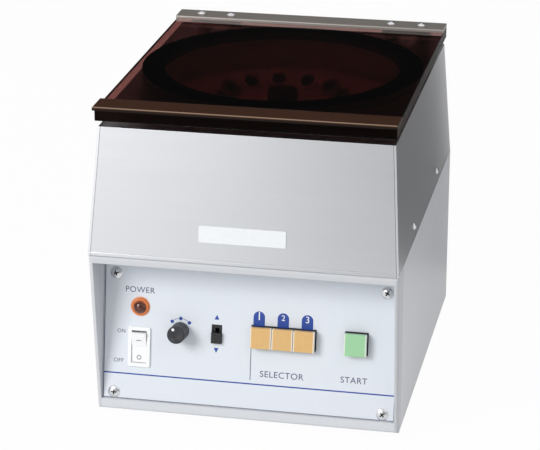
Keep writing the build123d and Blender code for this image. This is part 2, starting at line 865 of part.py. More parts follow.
def button_plunger(x, s, width):
    skirt = panel_block(x, s, width, width, -button_skirt, button_depth - button_cap)
    stem_end = -button_skirt - button_stem_length
    return skirt + panel_block(x, s, button_stem, button_stem, stem_end, 0)


def button_lens(x, s, width):
    cap = rounded_plate(width, width, 0.7, button_cap)
    return panel_plane * Pos(x, s, button_depth - button_cap) * cap


# Lid, its seal and its hinges

def lid_holes():
    return [post(x, lid_screw_y, seam_z, strip_top_z + 9, lid_screw_radius + hole_gap)
            for x in lid_screws_at]


def lid_plate():
    half = lid_width / 2
    plate = block(-half, half, lid_front_y, lid_back_y, lid_z, lid_top_z)
    plate = chamfer(plate.edges(), 0.4)
    for hole in lid_holes():
        plate -= hole
    return plate


def lid_lip():
    half = lip_width / 2
    lip = block(-half, half, lip_front_y, lip_back_y, lid_top_z, lid_top_z + lip_thickness)
    return chamfer(lip.edges().group_by(Axis.Z)[-1], lip_chamfer)


def lid_gasket():
    return ring(0, chamber_y, deck_z + gasket_clearance, lid_z, gasket_outer, gasket_inner)


def hinge_strip():
    half = lid_width / 2
    leg_y = lid_back_y + strip_leg
    strip = block(-half, half, strip_front_y, leg_y, lid_top_z, strip_top_z)
    strip += block(-half, half, lid_back_y, leg_y, lid_z, strip_top_z)
    top_edges = strip.edges().filter_by(Axis.X).group_by(Axis.Z)[-1]
    strip = fillet(top_edges, 1.0)
    for hole in lid_holes():
        strip -= hole
    return strip


def lid_screws():
    screws = []
    for x in lid_screws_at:
        head = Pos(x, lid_screw_y, strip_top_z) * dome_head(lid_head_radius, lid_head_height)
        low = lid_z - hinge_leaf
        shank = post(x, lid_screw_y, low - 2.6, strip_top_z, lid_screw_radius)
        nut = Pos(x, lid_screw_y, low - 2.4) * extrude(RegularPolygon(4.0, 6), 2.4)
        screws.append(head + shank + nut)
    return joined(screws)


def knuckle(x0, x1, bore):
    barrel = Cylinder(knuckle_radius, x1 - x0) - Cylinder(bore, x1 - x0 + 2)
    return Pos((x0 + x1) / 2, hinge_y, hinge_z) * Rot(0, 90, 0) * barrel


def hinge_leaves():
    leaves = []
    for x in hinges_at:
        half = hinge_width / 2
        inner = knuckle_middle / 2 - fit_gap
        leaf_y = hinge_y - knuckle_radius - 2 * fit_gap
        leaf = block(x - half, x + half, leaf_front_y, leaf_y, lid_z - hinge_leaf, lid_z)
        for hole in lid_holes():
            leaf -= hole
        tongue = block(x - inner, x + inner, leaf_y - 1, hinge_y, lid_z - hinge_leaf, lid_z)
        barrel = Pos(x, hinge_y, hinge_z) * Rot(0, 90, 0) * Cylinder(knuckle_radius, 2 * inner)
        bore = Pos(x, hinge_y, hinge_z) * Rot(0, 90, 0) * Cylinder(hinge_pin_radius + running_gap, 60)
        leaves.append(leaf + tongue + barrel - bore)
    return joined(leaves)


def hinge_brackets():
    """The fixed halves, screwed to the back of the cover, with a knuckle on each side."""
    brackets = []
    low = deck_z - bracket_drop
    high = deck_z - 3
    plate = [
        (cover_back_y(low), low),
        (cover_back_y(high), high),
        (hinge_y - knuckle_radius, hinge_z - 1),
        (hinge_y, hinge_z),
        (hinge_y + knuckle_radius * cos(radians(30)), hinge_z - knuckle_radius / 2),
        (cover_back_y(high) + hinge_leaf, high - 4),
        (cover_back_y(low) + hinge_leaf, low),
    ]
    for x in hinges_at:
        half = hinge_width / 2
        middle = knuckle_middle / 2
        bracket = side_prism(plate, x - half, x + half)
        bracket -= block(x - middle, x + middle, hinge_y - 9, hinge_y + 9, high - 2, deck_z + 30)
        for side in both(1):
            ends = sorted((x + side * middle, x + side * half))
            bracket += knuckle(ends[0], ends[1], 0.1)
        bracket -= Pos(x, hinge_y, hinge_z) * Rot(0, 90, 0) * Cylinder(hinge_pin_radius, 60)
        for dx in both(hinge_width / 3):
            bracket -= bracket_screw_hole(x + dx)
        brackets.append(bracket)
    return joined(brackets)


def hinge_pins():
    pin = Rot(0, 90, 0) * Cylinder(hinge_pin_radius, hinge_width)
    return joined(Pos(x, hinge_y, hinge_z) * pin for x in hinges_at)


def bracket_screws():
    thickness = hinge_leaf * cos(atan(cover_back_lean / cover_height))
    screw = Pos(0, 0, thickness) * dome_head(3.4, 1.6)
    screw += Pos(0, 0, thickness - 4) * Cylinder(lid_screw_radius, 8)
    return joined(bracket_screw_place(x + dx) * screw for x in hinges_at
                  for dx in both(hinge_width / 3))


# Mains inlet, fuse, transformer, capacitor and control board

def power_inlet():
    back = half_depth
    body = block(
        inlet_x - inlet_width / 2, inlet_x + inlet_width / 2, back - inlet_depth, back,
        inlet_z - inlet_height / 2, inlet_z + inlet_height / 2,
    )
    body += block(
        inlet_x - inlet_flange_width / 2, inlet_x + inlet_flange_width / 2, back, back + 2.4,
        inlet_z - inlet_flange_height / 2, inlet_z + inlet_flange_height / 2,
    )
    body -= block(
        inlet_x - socket_width / 2, inlet_x + socket_width / 2, back - socket_depth, back + 9,
        inlet_z - socket_height / 2, inlet_z + socket_height / 2,
    )
    for dx, dz in ((-7, -2), (0, 2.2), (7, -2)):
        body += block(inlet_x + dx - 1, inlet_x + dx + 1, back - socket_depth - 1, back - 5,
                      inlet_z + dz - 2, inlet_z + dz + 2)
    for dx in both(inlet_screw_pitch / 2):
        hole = Rot(90, 0, 0) * Cylinder(inlet_screw_radius + hole_gap, 30)
        body -= Pos(inlet_x + dx, back, inlet_z) * hole
    return body


def inlet_screws():
    screws = []
    for dx in both(inlet_screw_pitch / 2):
        screw = dome_head(2.8, 1.5) - Pos(0, 0, 1.5) * cross_recess(2.6, 0.9)
        screw += Pos(0, 0, -4) * Cylinder(inlet_screw_radius, 8)
        screws.append(Pos(inlet_x + dx, half_depth + 2.4, inlet_z) * Rot(-90, 0, 0) * screw)
    return joined(screws)


def fuse_holder():
    half = fuse_body_length / 2
    body = Cylinder(fuse_radius, fuse_body_length)
    cap = Pos(0, 0, half + fuse_cap_length / 2) * Cylinder(fuse_cap_radius, fuse_cap_length)
    cap = fillet(cap.edges().group_by(Axis.Z)[-1], 1.0)
    slot = Pos(0, 0, half + fuse_cap_length) * Box(1.4, 9, 2.4)
    return Pos(fuse_x, half_depth - half, inlet_z) * Rot(-90, 0, 0) * (body + cap - slot)


def transformer():
    x, y, z = transformer_x, transformer_y, base_top_z
    half_core, half_coil = core_width / 2, winding_width / 2
    core = block(x - half_core, x + half_core, y - core_depth / 2, y + core_depth / 2, z, z + core_height)
    core -= block(x - half_coil, x + half_coil, y - core_depth, y + core_depth,
                  z + winding_low, z + winding_high)
    winding = block(x - half_coil, x + half_coil, y - winding_depth / 2, y + winding_depth / 2,
                    z + winding_low, z + winding_high)
    return joined([core, winding])


def motor_capacitor():
    top = base_top_z + capacitor_height
    return post(-transformer_x, transformer_y, base_top_z, top, capacitor_radius)


def board_standoffs():
    return joined(post(x, y, base_top_z, board_z, standoff_radius) for x, y in standoffs_at)


def control_board():
    """The circuit board, with its relays, capacitors and terminal strip."""
    half = board_width / 2
    top = board_z + board_sheet
    board = block(-half, half, board_y - board_depth / 2, board_y + board_depth / 2, board_z, top)
    relays = []
    for n in range(3):
        x = relay_x + relay_pitch * n
        relays.append(block(x - relay_width / 2, x + relay_width / 2, board_y - relay_front,
                            board_y + relay_back, top, top + relay_height))
    cans = [post(x, board_y, top, top + can_height, can_radius) for x in (0, can_pitch)]
    terminals = block(terminal_x, terminal_x + terminal_width, board_y + terminal_front,
                      board_y + terminal_back, top, top + terminal_height)
    return joined([board, *relays, *cans, terminals])


def nameplate():
    """A blank label plate on the front of the cover."""
    slope = atan(cover_front_lean / cover_height)
    plane = Plane(
        origin=(0, -half_depth, seam_z), x_dir=(1, 0, 0), z_dir=(0, -cos(slope), sin(slope)),
    )
    plate = rounded_plate(nameplate_width, nameplate_height, 1.0, nameplate_thickness)
    return plane * Pos(0, nameplate_rise, 0) * plate


# All the sub-parts, by name

parts = {
    "lower_case": lower_case(),
    "base_plate": base_plate(),
    "rubber_feet": rubber_feet(),
    "foot_screws": foot_screws(),
    "stainless_cover": stainless_cover(),
    "cover_screws": cover_screws(),
    "nameplate": nameplate(),
    "chamber_bowl": chamber_bowl(),
    "bowl_boot": bowl_boot(),
    "mount_pillars": mount_pillars(),
    "rubber_isolators": rubber_isolators(),
    "motor_mount_plate": motor_mount_plate(),
    "mount_bolts": mount_bolts(),
    "motor_can": motor_can(),
    "motor_upper_bell": upper_bell(),
    "motor_lower_bell": lower_bell(),
    "motor_bearings": bearings(),
    "motor_stator": stator(),
    "motor_armature": armature(),
    "drive_shaft": drive_shaft(),
    "rotor_disc": rotor_disc(),
    "tube_shields": joined(tube_shield(number) for number in range(rotor_places)),
    "shield_cushions": shield_cushions(),
    "rotor_knob": rotor_knob(),
    "control_panel": control_panel(),
    "panel_screws": panel_screws(),
    "power_lamp": power_lamp(),
    "lamp_holder": lamp_holder(),
    "rocker_switch": rocker_switch(),
    "power_rocker": power_rocker(),
    "rotary_switch": rotary_switch(),
    "mode_knob": mode_knob(),
    "slide_switch": slide_switch(),
    "slide_knob": slide_knob(),
    "selector_switch_bank": selector_switch_bank(),
    "start_switch": start_switch(),
    "start_plunger": button_plunger(start_x, start_s, start_width),
    "start_button": button_lens(start_x, start_s, start_width),
    "lid_plate": lid_plate(),
    "lid_lip": lid_lip(),
    "lid_gasket": lid_gasket(),
    "hinge_strip": hinge_strip(),
    "lid_screws": lid_screws(),
    "hinge_leaves": hinge_leaves(),
    "hinge_brackets": hinge_brackets(),
    "hinge_pins": hinge_pins(),
    "bracket_screws": bracket_screws(),
    "power_inlet": power_inlet(),
    "inlet_screws": inlet_screws(),
    "fuse_holder": fuse_holder(),
    "transformer": transformer(),
    "motor_capacitor": motor_capacitor(),
    "board_standoffs": board_standoffs(),
    "control_board": control_board(),
}
for number, x in enumerate(selectors_at, start=1):
    parts[f"selector_plunger_{number}"] = button_plunger(x, selector_s, button_width)
    parts[f"selector_button_{number}"] = button_lens(x, selector_s, button_width)

os.makedirs("parts", exist_ok=True)
for name, part in parts.items():
    export_step(Pos(0, -rear_overhang / 2, 0) * part, f"parts/{name}.step")
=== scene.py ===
import json
from math import atan, cos, pi, radians, sin

import bmesh
import bpy
from bpy.props import FloatProperty, FloatVectorProperty, PointerProperty
from mathutils import Matrix, Vector


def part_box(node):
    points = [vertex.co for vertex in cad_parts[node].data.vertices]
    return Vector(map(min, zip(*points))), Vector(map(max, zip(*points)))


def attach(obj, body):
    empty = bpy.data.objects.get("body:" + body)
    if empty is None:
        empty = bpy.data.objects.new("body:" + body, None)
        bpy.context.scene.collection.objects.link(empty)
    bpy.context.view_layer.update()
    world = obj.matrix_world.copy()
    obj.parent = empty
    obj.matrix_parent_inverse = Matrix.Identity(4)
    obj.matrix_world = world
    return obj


# A bench centrifuge: a painted case with a sloping control panel, a stainless upper cover and a
# smoked lid.
# Lengths are metres in the frame's axes: the front faces -Y, and z = 0 is the bench top.

bl_info = {
    "name": "Bench centrifuge looks",
    "version": (1, 0, 0),
    "blender": (4, 5, 0),
    "location": "3D View > Sidebar > Centrifuge",
    "description": "Finishes, panel print, seals and studio for a bench centrifuge",
    "category": "Object",
}

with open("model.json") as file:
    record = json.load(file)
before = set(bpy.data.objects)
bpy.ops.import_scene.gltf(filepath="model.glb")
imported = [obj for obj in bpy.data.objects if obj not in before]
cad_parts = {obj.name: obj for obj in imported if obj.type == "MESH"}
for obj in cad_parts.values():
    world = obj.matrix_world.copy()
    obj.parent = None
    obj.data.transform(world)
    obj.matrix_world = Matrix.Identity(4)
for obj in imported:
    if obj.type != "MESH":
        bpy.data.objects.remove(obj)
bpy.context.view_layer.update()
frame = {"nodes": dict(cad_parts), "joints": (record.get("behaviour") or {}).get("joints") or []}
nodes = frame["nodes"]
MM = 0.001

# The Mix node's colour sockets share their names with others, so they are found by number.
MIX_FACTOR, MIX_A, MIX_B, MIX_RESULT = 0, 6, 7, 2


def sized(name, description, default, low=0.0, high=10.0):
    """A length in metres that a user may change."""
    return FloatProperty(name=name, description=description, default=default, min=low, max=high,
                         unit="LENGTH", subtype="DISTANCE", precision=5)


def tinted(name, description, default):
    """A colour that a user may change."""
    return FloatVectorProperty(name=name, description=description, default=default, size=3, min=0.0,
                               max=1.0, subtype="COLOR")


def amount(name, description, default, high):
    """A plain number, from nothing to its highest value."""
    return FloatProperty(name=name, description=description, default=default, min=0.0, max=high)


class CentrifugeColours(bpy.types.PropertyGroup):
    """The colours of the finishes."""
    case_paint: tinted("Case paint", "Enamel of the lower case", (0.72, 0.735, 0.765))
    panel_paint: tinted("Panel paint", "Enamel of the control panel", (0.76, 0.80, 0.855))
    stainless: tinted("Stainless", "Brushed sheet of the upper cover", (0.69, 0.70, 0.725))
    acrylic: tinted("Smoked acrylic", "What the lid lets through", (0.25, 0.092, 0.082))
    lip: tinted("Front lip", "The strip along the front of the lid", (0.045, 0.017, 0.008))
    print_ink: tinted("Print", "Blue ink of the panel print", (0.018, 0.06, 0.32))
    text_ink: tinted("Lettering", "Grey-blue ink of the panel lettering", (0.045, 0.055, 0.13))
    orange_lens: tinted("Orange buttons", "Lenses of the selector buttons", (0.74, 0.47, 0.19))
    green_lens: tinted("Green button", "Lens of the start button", (0.36, 0.66, 0.38))
    amber_lens: tinted("Power lamp", "Lens of the power lamp", (0.22, 0.035, 0.012))


class CentrifugePrint(bpy.types.PropertyGroup):
    """The sizes of the panel print."""
    ink: sized("Ink thickness", "How far the print stands on the panel", 0.00006, 0.00002, 0.0005)
    rule: sized("Rule width", "Width of the long blue line", 0.00115)
    divider: sized("Divider width", "Width of the thin upright line", 0.0006)
    # Width of the painted shadow inside the panel's edge
    border: sized("Border width", "Width of the dark line inside the panel's edge", 0.0007)
    arch_width: sized("Arch width", "Width of the blue number arches", 0.0098)
    power_width: sized("POWER width", "Width of the word over the lamp", 0.0253)
    selector_width: sized("SELECTOR width", "Width of the word under the selector buttons", 0.0373)
    start_width: sized("START width", "Width of the word under the start button", 0.0226)
    switch_width: sized("OFF width", "Width of the word beside the switch", 0.0086)


class CentrifugeStage(bpy.types.PropertyGroup):
    """The floor, the lamps and the camera."""
    floor: tinted("Floor", "Colour of the floor", (0.86, 0.87, 0.88))
    key_power: amount("Key lamp", "Watts of the large lamp above the left of the front", 33.0, 500.0)
    fill_power: amount("Fill lamp", "Watts of the lamp above the right", 5.0, 500.0)
    room: amount("Room light", "Strength of the light from all round", 0.44, 5.0)
    camera_lens: FloatProperty(name="Lens", description="Focal length of the camera, in millimetres",
                               default=151.2, min=10.0, max=400.0)
    camera_distance: sized("Distance", "From the camera to the middle of the object", 2.013)


class Wire:
    """A node's output. Arithmetic on wires adds Math nodes."""

    def __init__(self, graph, socket):
        self.graph = graph
        self.socket = socket

    def __add__(self, other):
        return self.graph.maths("ADD", self, other)

    def __sub__(self, other):
        return self.graph.maths("SUBTRACT", self, other)

    def __rsub__(self, other):
        return self.graph.maths("SUBTRACT", other, self)

    def __mul__(self, other):
        return self.graph.maths("MULTIPLY", self, other)

    def __truediv__(self, other):
        return self.graph.maths("DIVIDE", self, other)

    def __gt__(self, other):
        return self.graph.maths("GREATER_THAN", self, other)

    def __lt__(self, other):
        return self.graph.maths("LESS_THAN", self, other)

    def __abs__(self):
        return self.graph.maths("ABSOLUTE", self)

    __radd__ = __add__
    __rmul__ = __mul__

    def clamped(self):
        """The value held between 0 and 1."""
        return self.graph.maths("MAXIMUM", self.graph.maths("MINIMUM", self, 1.0), 0.0)


class Graph:
    """A material's nodes, built from Python expressions."""

    def __init__(self, tree):
        self.tree = tree
        tree.nodes.clear()

    def node(self, kind, settings=None, inputs=None, output=0):
        """Adds a node: its settings come first, then the values or links of its sockets."""
        made = self.tree.nodes.new(kind)
        for name, value in (settings or {}).items():
            if name == "stops":
                self.set_stops(made.color_ramp, value)
            else:
                setattr(made, name, value)
        for name, value in (inputs or {}).items():
            socket = made.inputs[name]
            if isinstance(value, Wire):
                self.tree.links.new(value.socket, socket)
            else:
                socket.default_value = (*value, 1.0) if socket.type == "RGBA" else value
        return Wire(self, made.outputs[output]) if made.outputs else made

    def maths(self, operation, *values):
        """A Math node on wires or numbers."""
        return self.node("ShaderNodeMath", {"operation": operation}, dict(enumerate(values)))

    @staticmethod
    def set_stops(ramp, stops):
        """Gives a ramp its positions and grey levels."""
        while len(ramp.elements) < len(stops):
            ramp.elements.new(0.5)
        for element, (position, level) in zip(ramp.elements, stops):
            element.position = position
            element.color = (level, level, level, 1.0)

    def place(self, stretch=(1.0, 1.0, 1.0)):
        """The point on the surface in metres, stretched along the axes."""
        coordinates = self.node("ShaderNodeTexCoord", output="Object")
        inputs = {0: coordinates, 1: stretch}
        return self.node("ShaderNodeVectorMath", {"operation": "MULTIPLY"}, inputs)

    def axis(self, name):
        """One coordinate of the surface point, in metres."""
        return self.node("ShaderNodeSeparateXYZ", {}, {"Vector": self.place()}, name)

    def noise(self, scale, detail=2.0, rough=0.5, stretch=(1.0, 1.0, 1.0)):
        """Smooth noise from 0 to 1, with about as many grains in a metre as its scale."""
        return self.node("ShaderNodeTexNoise", {}, {
            "Vector": self.place(stretch), "Scale": scale, "Detail": detail, "Roughness": rough})

    def ramp(self, value, stops):
        """A smooth curve through grey stops."""
        return self.node("ShaderNodeValToRGB", {"stops": stops}, {"Fac": value})

    def mix(self, share_of_b, a, b):
        """One colour turning into another."""
        inputs = {MIX_FACTOR: share_of_b, MIX_A: a, MIX_B: b}
        return self.node("ShaderNodeMix", {"data_type": "RGBA"}, inputs, MIX_RESULT)

    def wave(self, turn):
        """A smooth wave between 0 and 1, from an angle in radians."""
        return self.maths("SINE", turn) * 0.5 + 0.5

    def seen_directly(self):
        """1 for rays from the camera, metal and glass, and 0 for the rays that light a dull surface."""
        rays = self.node("ShaderNodeLightPath")
        seen = rays
        for kind in ("Is Glossy Ray", "Is Transmission Ray"):
            seen = self.maths("MAXIMUM", seen, Wire(self, rays.socket.node.outputs[kind]))
        return seen

    def bump(self, height, strength, distance, normal=None):
        """A normal that follows a height, on top of another normal if there is one."""
        inputs = {"Height": height, "Strength": strength, "Distance": distance}
        if normal is not None:
            inputs["Normal"] = normal
        return self.node("ShaderNodeBump", {}, inputs)

    def soft_edges(self, radius):
        """A normal that rounds sharp sheet edges by a radius."""
        return self.node("ShaderNodeBevel", {"samples": 4}, {"Radius": radius})

    def finish(self, **sockets):
        """The surface, from socket names with underscores for spaces."""
        inputs = {name.replace("_", " "): value for name, value in sockets.items()}
        surface = self.node("ShaderNodeBsdfPrincipled", {}, inputs)
        self.node("ShaderNodeOutputMaterial", {}, {"Surface": surface})


def new_material(name):
    """A material and the graph that fills it."""
    material = bpy.data.materials.new(name)
    material.use_nodes = True
    return material, Graph(material.node_tree)


def shaded(colour, level):
    """A colour made lighter or darker, worked out in Python."""
    return tuple(min(1.0, part * level) for part in colour)


# Places that the finishes and the print are set out from

knob_joint = next(joint for joint in frame["joints"] if joint["name"] == "mode_knob_turn")
rocker_joint = next(joint for joint in frame["joints"] if joint["name"] == "power_rocker_tilt")
panel_out = Vector(knob_joint["axis"])
panel_up = Vector((0.0, panel_out.z, -panel_out.y))
KNOB_PLACE = (-0.0590, -0.0018)
knob_across = Vector((KNOB_PLACE[0], 0.0, 0.0))
panel_origin = Vector(knob_joint["pos_m"]) - KNOB_PLACE[1] * panel_up - knob_across
panel_frame = Matrix((
    (1.0, 0.0, 0.0, panel_origin.x),
    (0.0, panel_up.y, panel_out.y, panel_origin.y),
    (0.0, panel_up.z, panel_out.z, panel_origin.z),
    (0.0, 0.0, 0.0, 1.0),
))
cover_low, cover_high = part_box("stainless_cover")
case_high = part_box("lower_case")[1]
lens_low, lens_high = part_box("power_lamp")
bowl_low, bowl_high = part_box("chamber_bowl")
panel_low, panel_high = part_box("control_panel")
plate_low, plate_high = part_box("lid_plate")
chamber_y = (bowl_low.y + bowl_high.y) / 2


# Sizes of details that the finishes draw

DUST_REACH = 0.35           # share of the case's height
SIDE_LEAN = 6.9 * MM        # of the cover's sides, from foot to top
SEAM_INSET = 1.7 * MM
SEAM_WIDTH = 0.5 * MM
HEAD_RADIUS = 5.3 * MM      # of the panel screws
HEAD_HEIGHT = 2.0 * MM
RECESS_DEPTH = 0.35 * MM
RECESS_REACH = 0.26         # share of the head's area
LENS_WALL = 0.9 * MM
LAMP_RADIUS = 6.9 * MM
SAWN_MARGIN = 0.4 * MM
SAWN_DEPTH = 1.0 * MM
LIP_EDGE = 0.62 * MM
LIP_FRONT = 0.75 * MM
LIP_FACE_TOP = 1.4 * MM
BOARD_THICKNESS = 1.8 * MM
RING_RATE = 9000.0          # radians in a metre: rings of spun metal
RIB_RATE = 5200.0           # ribs inside the lamp's dome
SHEET_RATE = 5000.0         # sheets of the iron cores
KNOB_FLUTES = 30.0
FLOOR_WHITENESS = 0.97


# Finishes: one function for each, from a colour to a material

def enamel(name, colour, roughness=0.38):
    """Sprayed enamel: fine orange peel, faint clouds, a few dull specks and painted shade on the front
    frame.
    """
    material, graph = new_material(name)
    clouds = graph.noise(9.0, 3.0)
    peel = graph.noise(900.0, 2.0)
    specks = graph.noise(1500.0, 1.0) > 0.72
    dust = (1.0 - graph.axis("Z") / (case_high.z * DUST_REACH)).clamped() * clouds
    tone = graph.mix(clouds, shaded(colour, 0.97), shaded(colour, 1.02))
    tone = graph.mix(specks * 0.10, tone, shaded(colour, 0.72))
    tone = graph.mix(dust * 0.10, tone, shaded(colour, 0.80))
    # Painted shade: the front frame beside and above the panel is drawn darker.
    beside = abs(graph.axis("X")) > panel_high.x
    above = graph.axis("Z") > panel_high.z
    painted_frame_shade = graph.maths("MAXIMUM", beside, above) * (graph.axis("Y") < panel_origin.y)
    tone = graph.mix(painted_frame_shade * 0.7, tone, shaded(colour, 0.80))
    normal = graph.bump(peel, 0.10, 0.0004, graph.soft_edges(0.8 * MM))
    graph.finish(Base_Color=tone, Roughness=roughness + peel * 0.10, Specular_IOR_Level=0.25,
                 Normal=normal)
    return material


def brushed(name, colour, roughness, grain, lines=0.10, metal=1.0):
    """Brushed sheet metal: long fine scratches and clouds of tone."""
    material, graph = new_material(name)
    scratches = graph.noise(6.0, 4.0, 0.7, grain)
    clouds = graph.noise(7.0, 2.0)
    tone = graph.mix(scratches, shaded(colour, 1.0 - lines), shaded(colour, 1.0 + lines / 2))
    tone = graph.mix(clouds * 0.16, tone, shaded(colour, 0.86))
    normal = graph.bump(scratches, 0.05, 0.0002, graph.soft_edges(0.5 * MM))
    dullness = roughness + scratches * 0.10 - clouds * 0.05
    graph.finish(Base_Color=tone, Metallic=metal, Roughness=dullness, Normal=normal)
    return material


def cover_steel(name, colour):
    """The upper cover: satin steel with a folded seam and a glint beside each front corner."""
    material, graph = new_material(name)
    scratches = graph.noise(5.0, 4.0, 0.7, (2.0, 2.0, 260.0))
    clouds = graph.noise(6.0, 2.0)
    normals = graph.node("ShaderNodeTexCoord", output="Normal")
    facing = graph.node("ShaderNodeSeparateXYZ", {}, {"Vector": normals}, "Y")
    rise = graph.axis("Z") - cover_low.z
    across = abs(graph.axis("X"))
    lean = (SIDE_LEAN / (cover_high.z - cover_low.z)) * rise
    from_corner = cover_high.x - lean - across
    seam = (from_corner < SEAM_INSET + SEAM_WIDTH) * (from_corner > SEAM_INSET) * (facing < -0.5)
    glint = (from_corner < SEAM_INSET) * (facing < -0.5)
    tone = graph.mix(scratches, shaded(colour, 0.96), shaded(colour, 1.03))
    tone = graph.mix(clouds * 0.14, tone, shaded(colour, 0.88))
    tone = graph.mix(glint * 0.5, tone, shaded(colour, 1.25))
    tone = graph.mix(seam * 0.75, tone, shaded(colour, 0.22))
    normal = graph.bump(scratches, 0.03, 0.0002, graph.soft_edges(0.6 * MM))
    graph.finish(Base_Color=tone, Metallic=1.0, Roughness=0.27 + scratches * 0.08 + clouds * 0.04,
                 Normal=normal)
    return material


def spun(name, colour, roughness, metal=1.0):
    """Spun or turned metal: fine rings about the chamber's axis."""
    material, graph = new_material(name)
    x = graph.axis("X")
    y = graph.axis("Y") - chamber_y
    radius = graph.maths("SQRT", x * x + y * y)
    rings = graph.wave(radius * RING_RATE)
    clouds = graph.noise(18.0, 3.0)
    tone = graph.mix(rings * 0.5 + clouds * 0.5, shaded(colour, 0.86), shaded(colour, 1.05))
    normal = graph.bump(rings, 0.05, 0.0002, graph.soft_edges(0.5 * MM))
    graph.finish(Base_Color=tone, Metallic=metal, Roughness=roughness + clouds * 0.12, Normal=normal)
    return material


def bright(name, colour=(0.72, 0.72, 0.73), roughness=0.20):
    """Plated steel of screws, pins and shields, with faint handling marks."""
    material, graph = new_material(name)
    marks = graph.noise(260.0, 3.0)
    tone = graph.mix(marks, shaded(colour, 0.84), shaded(colour, 1.06))
    graph.finish(Base_Color=tone, Metallic=1.0, Roughness=roughness + marks * 0.14,
                 Normal=graph.bump(marks, 0.04, 0.0001, graph.soft_edges(0.25 * MM)))
    return material


def moulded(name, colour, roughness, grain=1400.0, relief=0.12):
    """Moulded plastic with a fine spark-eroded grain and slightly polished high spots."""
    material, graph = new_material(name)
    pores = graph.noise(grain, 2.0)
    handled = graph.noise(40.0, 2.0)
    tone = graph.mix(pores, shaded(colour, 0.90), shaded(colour, 1.08))
    graph.finish(Base_Color=tone, Roughness=roughness + pores * 0.08 - handled * 0.10,
                 Normal=graph.bump(pores, relief, 0.0002, graph.soft_edges(0.35 * MM)))
    return material


def rubber(name, colour=(0.018, 0.018, 0.019)):
    """Matt black rubber with a dusty bloom."""
    material, graph = new_material(name)
    bloom = graph.noise(55.0, 4.0)
    pores = graph.noise(2200.0, 1.0)
    tone = graph.mix(bloom * 0.5, colour, shaded(colour, 2.3))
    graph.finish(Base_Color=tone, Roughness=0.62 + bloom * 0.22,
                 Normal=graph.bump(pores, 0.25, 0.0003, graph.soft_edges(0.6 * MM)))
    return material


def panel_screw(name, colour=(0.70, 0.71, 0.73)):
    """Nickel-plated heads of the panel screws, with painted shade in their cross recesses."""
    material, graph = new_material(name)
    low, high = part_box("panel_screws")
    reach = HEAD_RADIUS * panel_up.z
    x = abs(graph.axis("X")) - (high.x - HEAD_RADIUS)
    y = graph.axis("Y") - panel_origin.y
    z = graph.axis("Z") - panel_origin.z
    # s runs up the panel, and h out of it
    s = y * panel_up.y + z * panel_up.z
    h = y * panel_out.y + z * panel_out.z
    top = (high.z - reach - panel_origin.z) / panel_up.z
    foot = (low.z + reach - panel_origin.z) / panel_up.z
    s = abs(s - (top + foot) / 2) - (top - foot) / 2
    square = (x * x + s * s) / (HEAD_RADIUS * HEAD_RADIUS)
    # Painted shade: the cross recess in each head is drawn near black.
    painted_recess_shade = (h < (1.0 - square) * HEAD_HEIGHT - RECESS_DEPTH) * (square < RECESS_REACH)
    marks = graph.noise(260.0, 3.0)
    tone = graph.mix(marks, shaded(colour, 0.86), shaded(colour, 1.06))
    tone = graph.mix(painted_recess_shade * 0.95, tone, (0.008, 0.009, 0.011))
    graph.finish(Base_Color=tone, Metallic=1.0, Roughness=0.22 + marks * 0.12 + painted_recess_shade * 0.4,
                 Normal=graph.bump(marks, 0.04, 0.0001, graph.soft_edges(0.25 * MM)))
    return material


def lens(name, colour, node):
    """Translucent coloured plastic of a button lens, with a painted highlight on its side walls."""
    material, graph = new_material(name)
    low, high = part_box(node)
    from_middle = abs(graph.axis("X") - (low.x + high.x) / 2)
    # Painted highlight: the lens's side walls are drawn pale cream.
    painted_wall_highlight = from_middle > (high.x - low.x) / 2 - LENS_WALL
    clouds = graph.noise(120.0, 2.0)
    grain = graph.noise(1100.0, 2.0)
    tone = graph.mix(clouds * 0.6, shaded(colour, 0.95), shaded(colour, 1.09))
    tone = graph.mix((grain > 0.70) * 0.12, tone, (1.0, 0.97, 0.9))
    tone = graph.mix(painted_wall_highlight * 0.7, tone, (0.93, 0.92, 0.88))
    graph.finish(Base_Color=tone, Roughness=0.33 + grain * 0.12, Subsurface_Weight=0.25,
                 Subsurface_Scale=0.002, Subsurface_Radius=(1.0, 0.6, 0.3),
                 Normal=graph.bump(grain, 0.05, 0.0002, graph.soft_edges(0.4 * MM)))
    return material


def lamp_glass(name, colour):
    """The lamp's amber dome: deep in the middle, with an orange rim."""
    material, graph = new_material(name)
    middle = (lens_low + lens_high) / 2
    x = graph.axis("X") - middle.x
    z = (graph.axis("Z") - middle.z) / panel_up.z
    radius = graph.maths("SQRT", x * x + z * z)
    rim = graph.ramp(radius / LAMP_RADIUS, [(0.0, 0.06), (0.45, 0.0), (0.74, 0.10), (0.90, 1.0)])
    ribs = graph.wave(radius * RIB_RATE)
    tone = graph.mix(rim, shaded(colour, 0.20), (0.80, 0.22, 0.05))
    tone = graph.mix(ribs * 0.20, tone, shaded(colour, 1.5))
    graph.finish(Base_Color=tone, Roughness=0.10 + ribs * 0.06, Coat_Weight=0.25, Coat_Roughness=0.05,
                 Normal=graph.bump(ribs, 0.12, 0.0003))
    return material


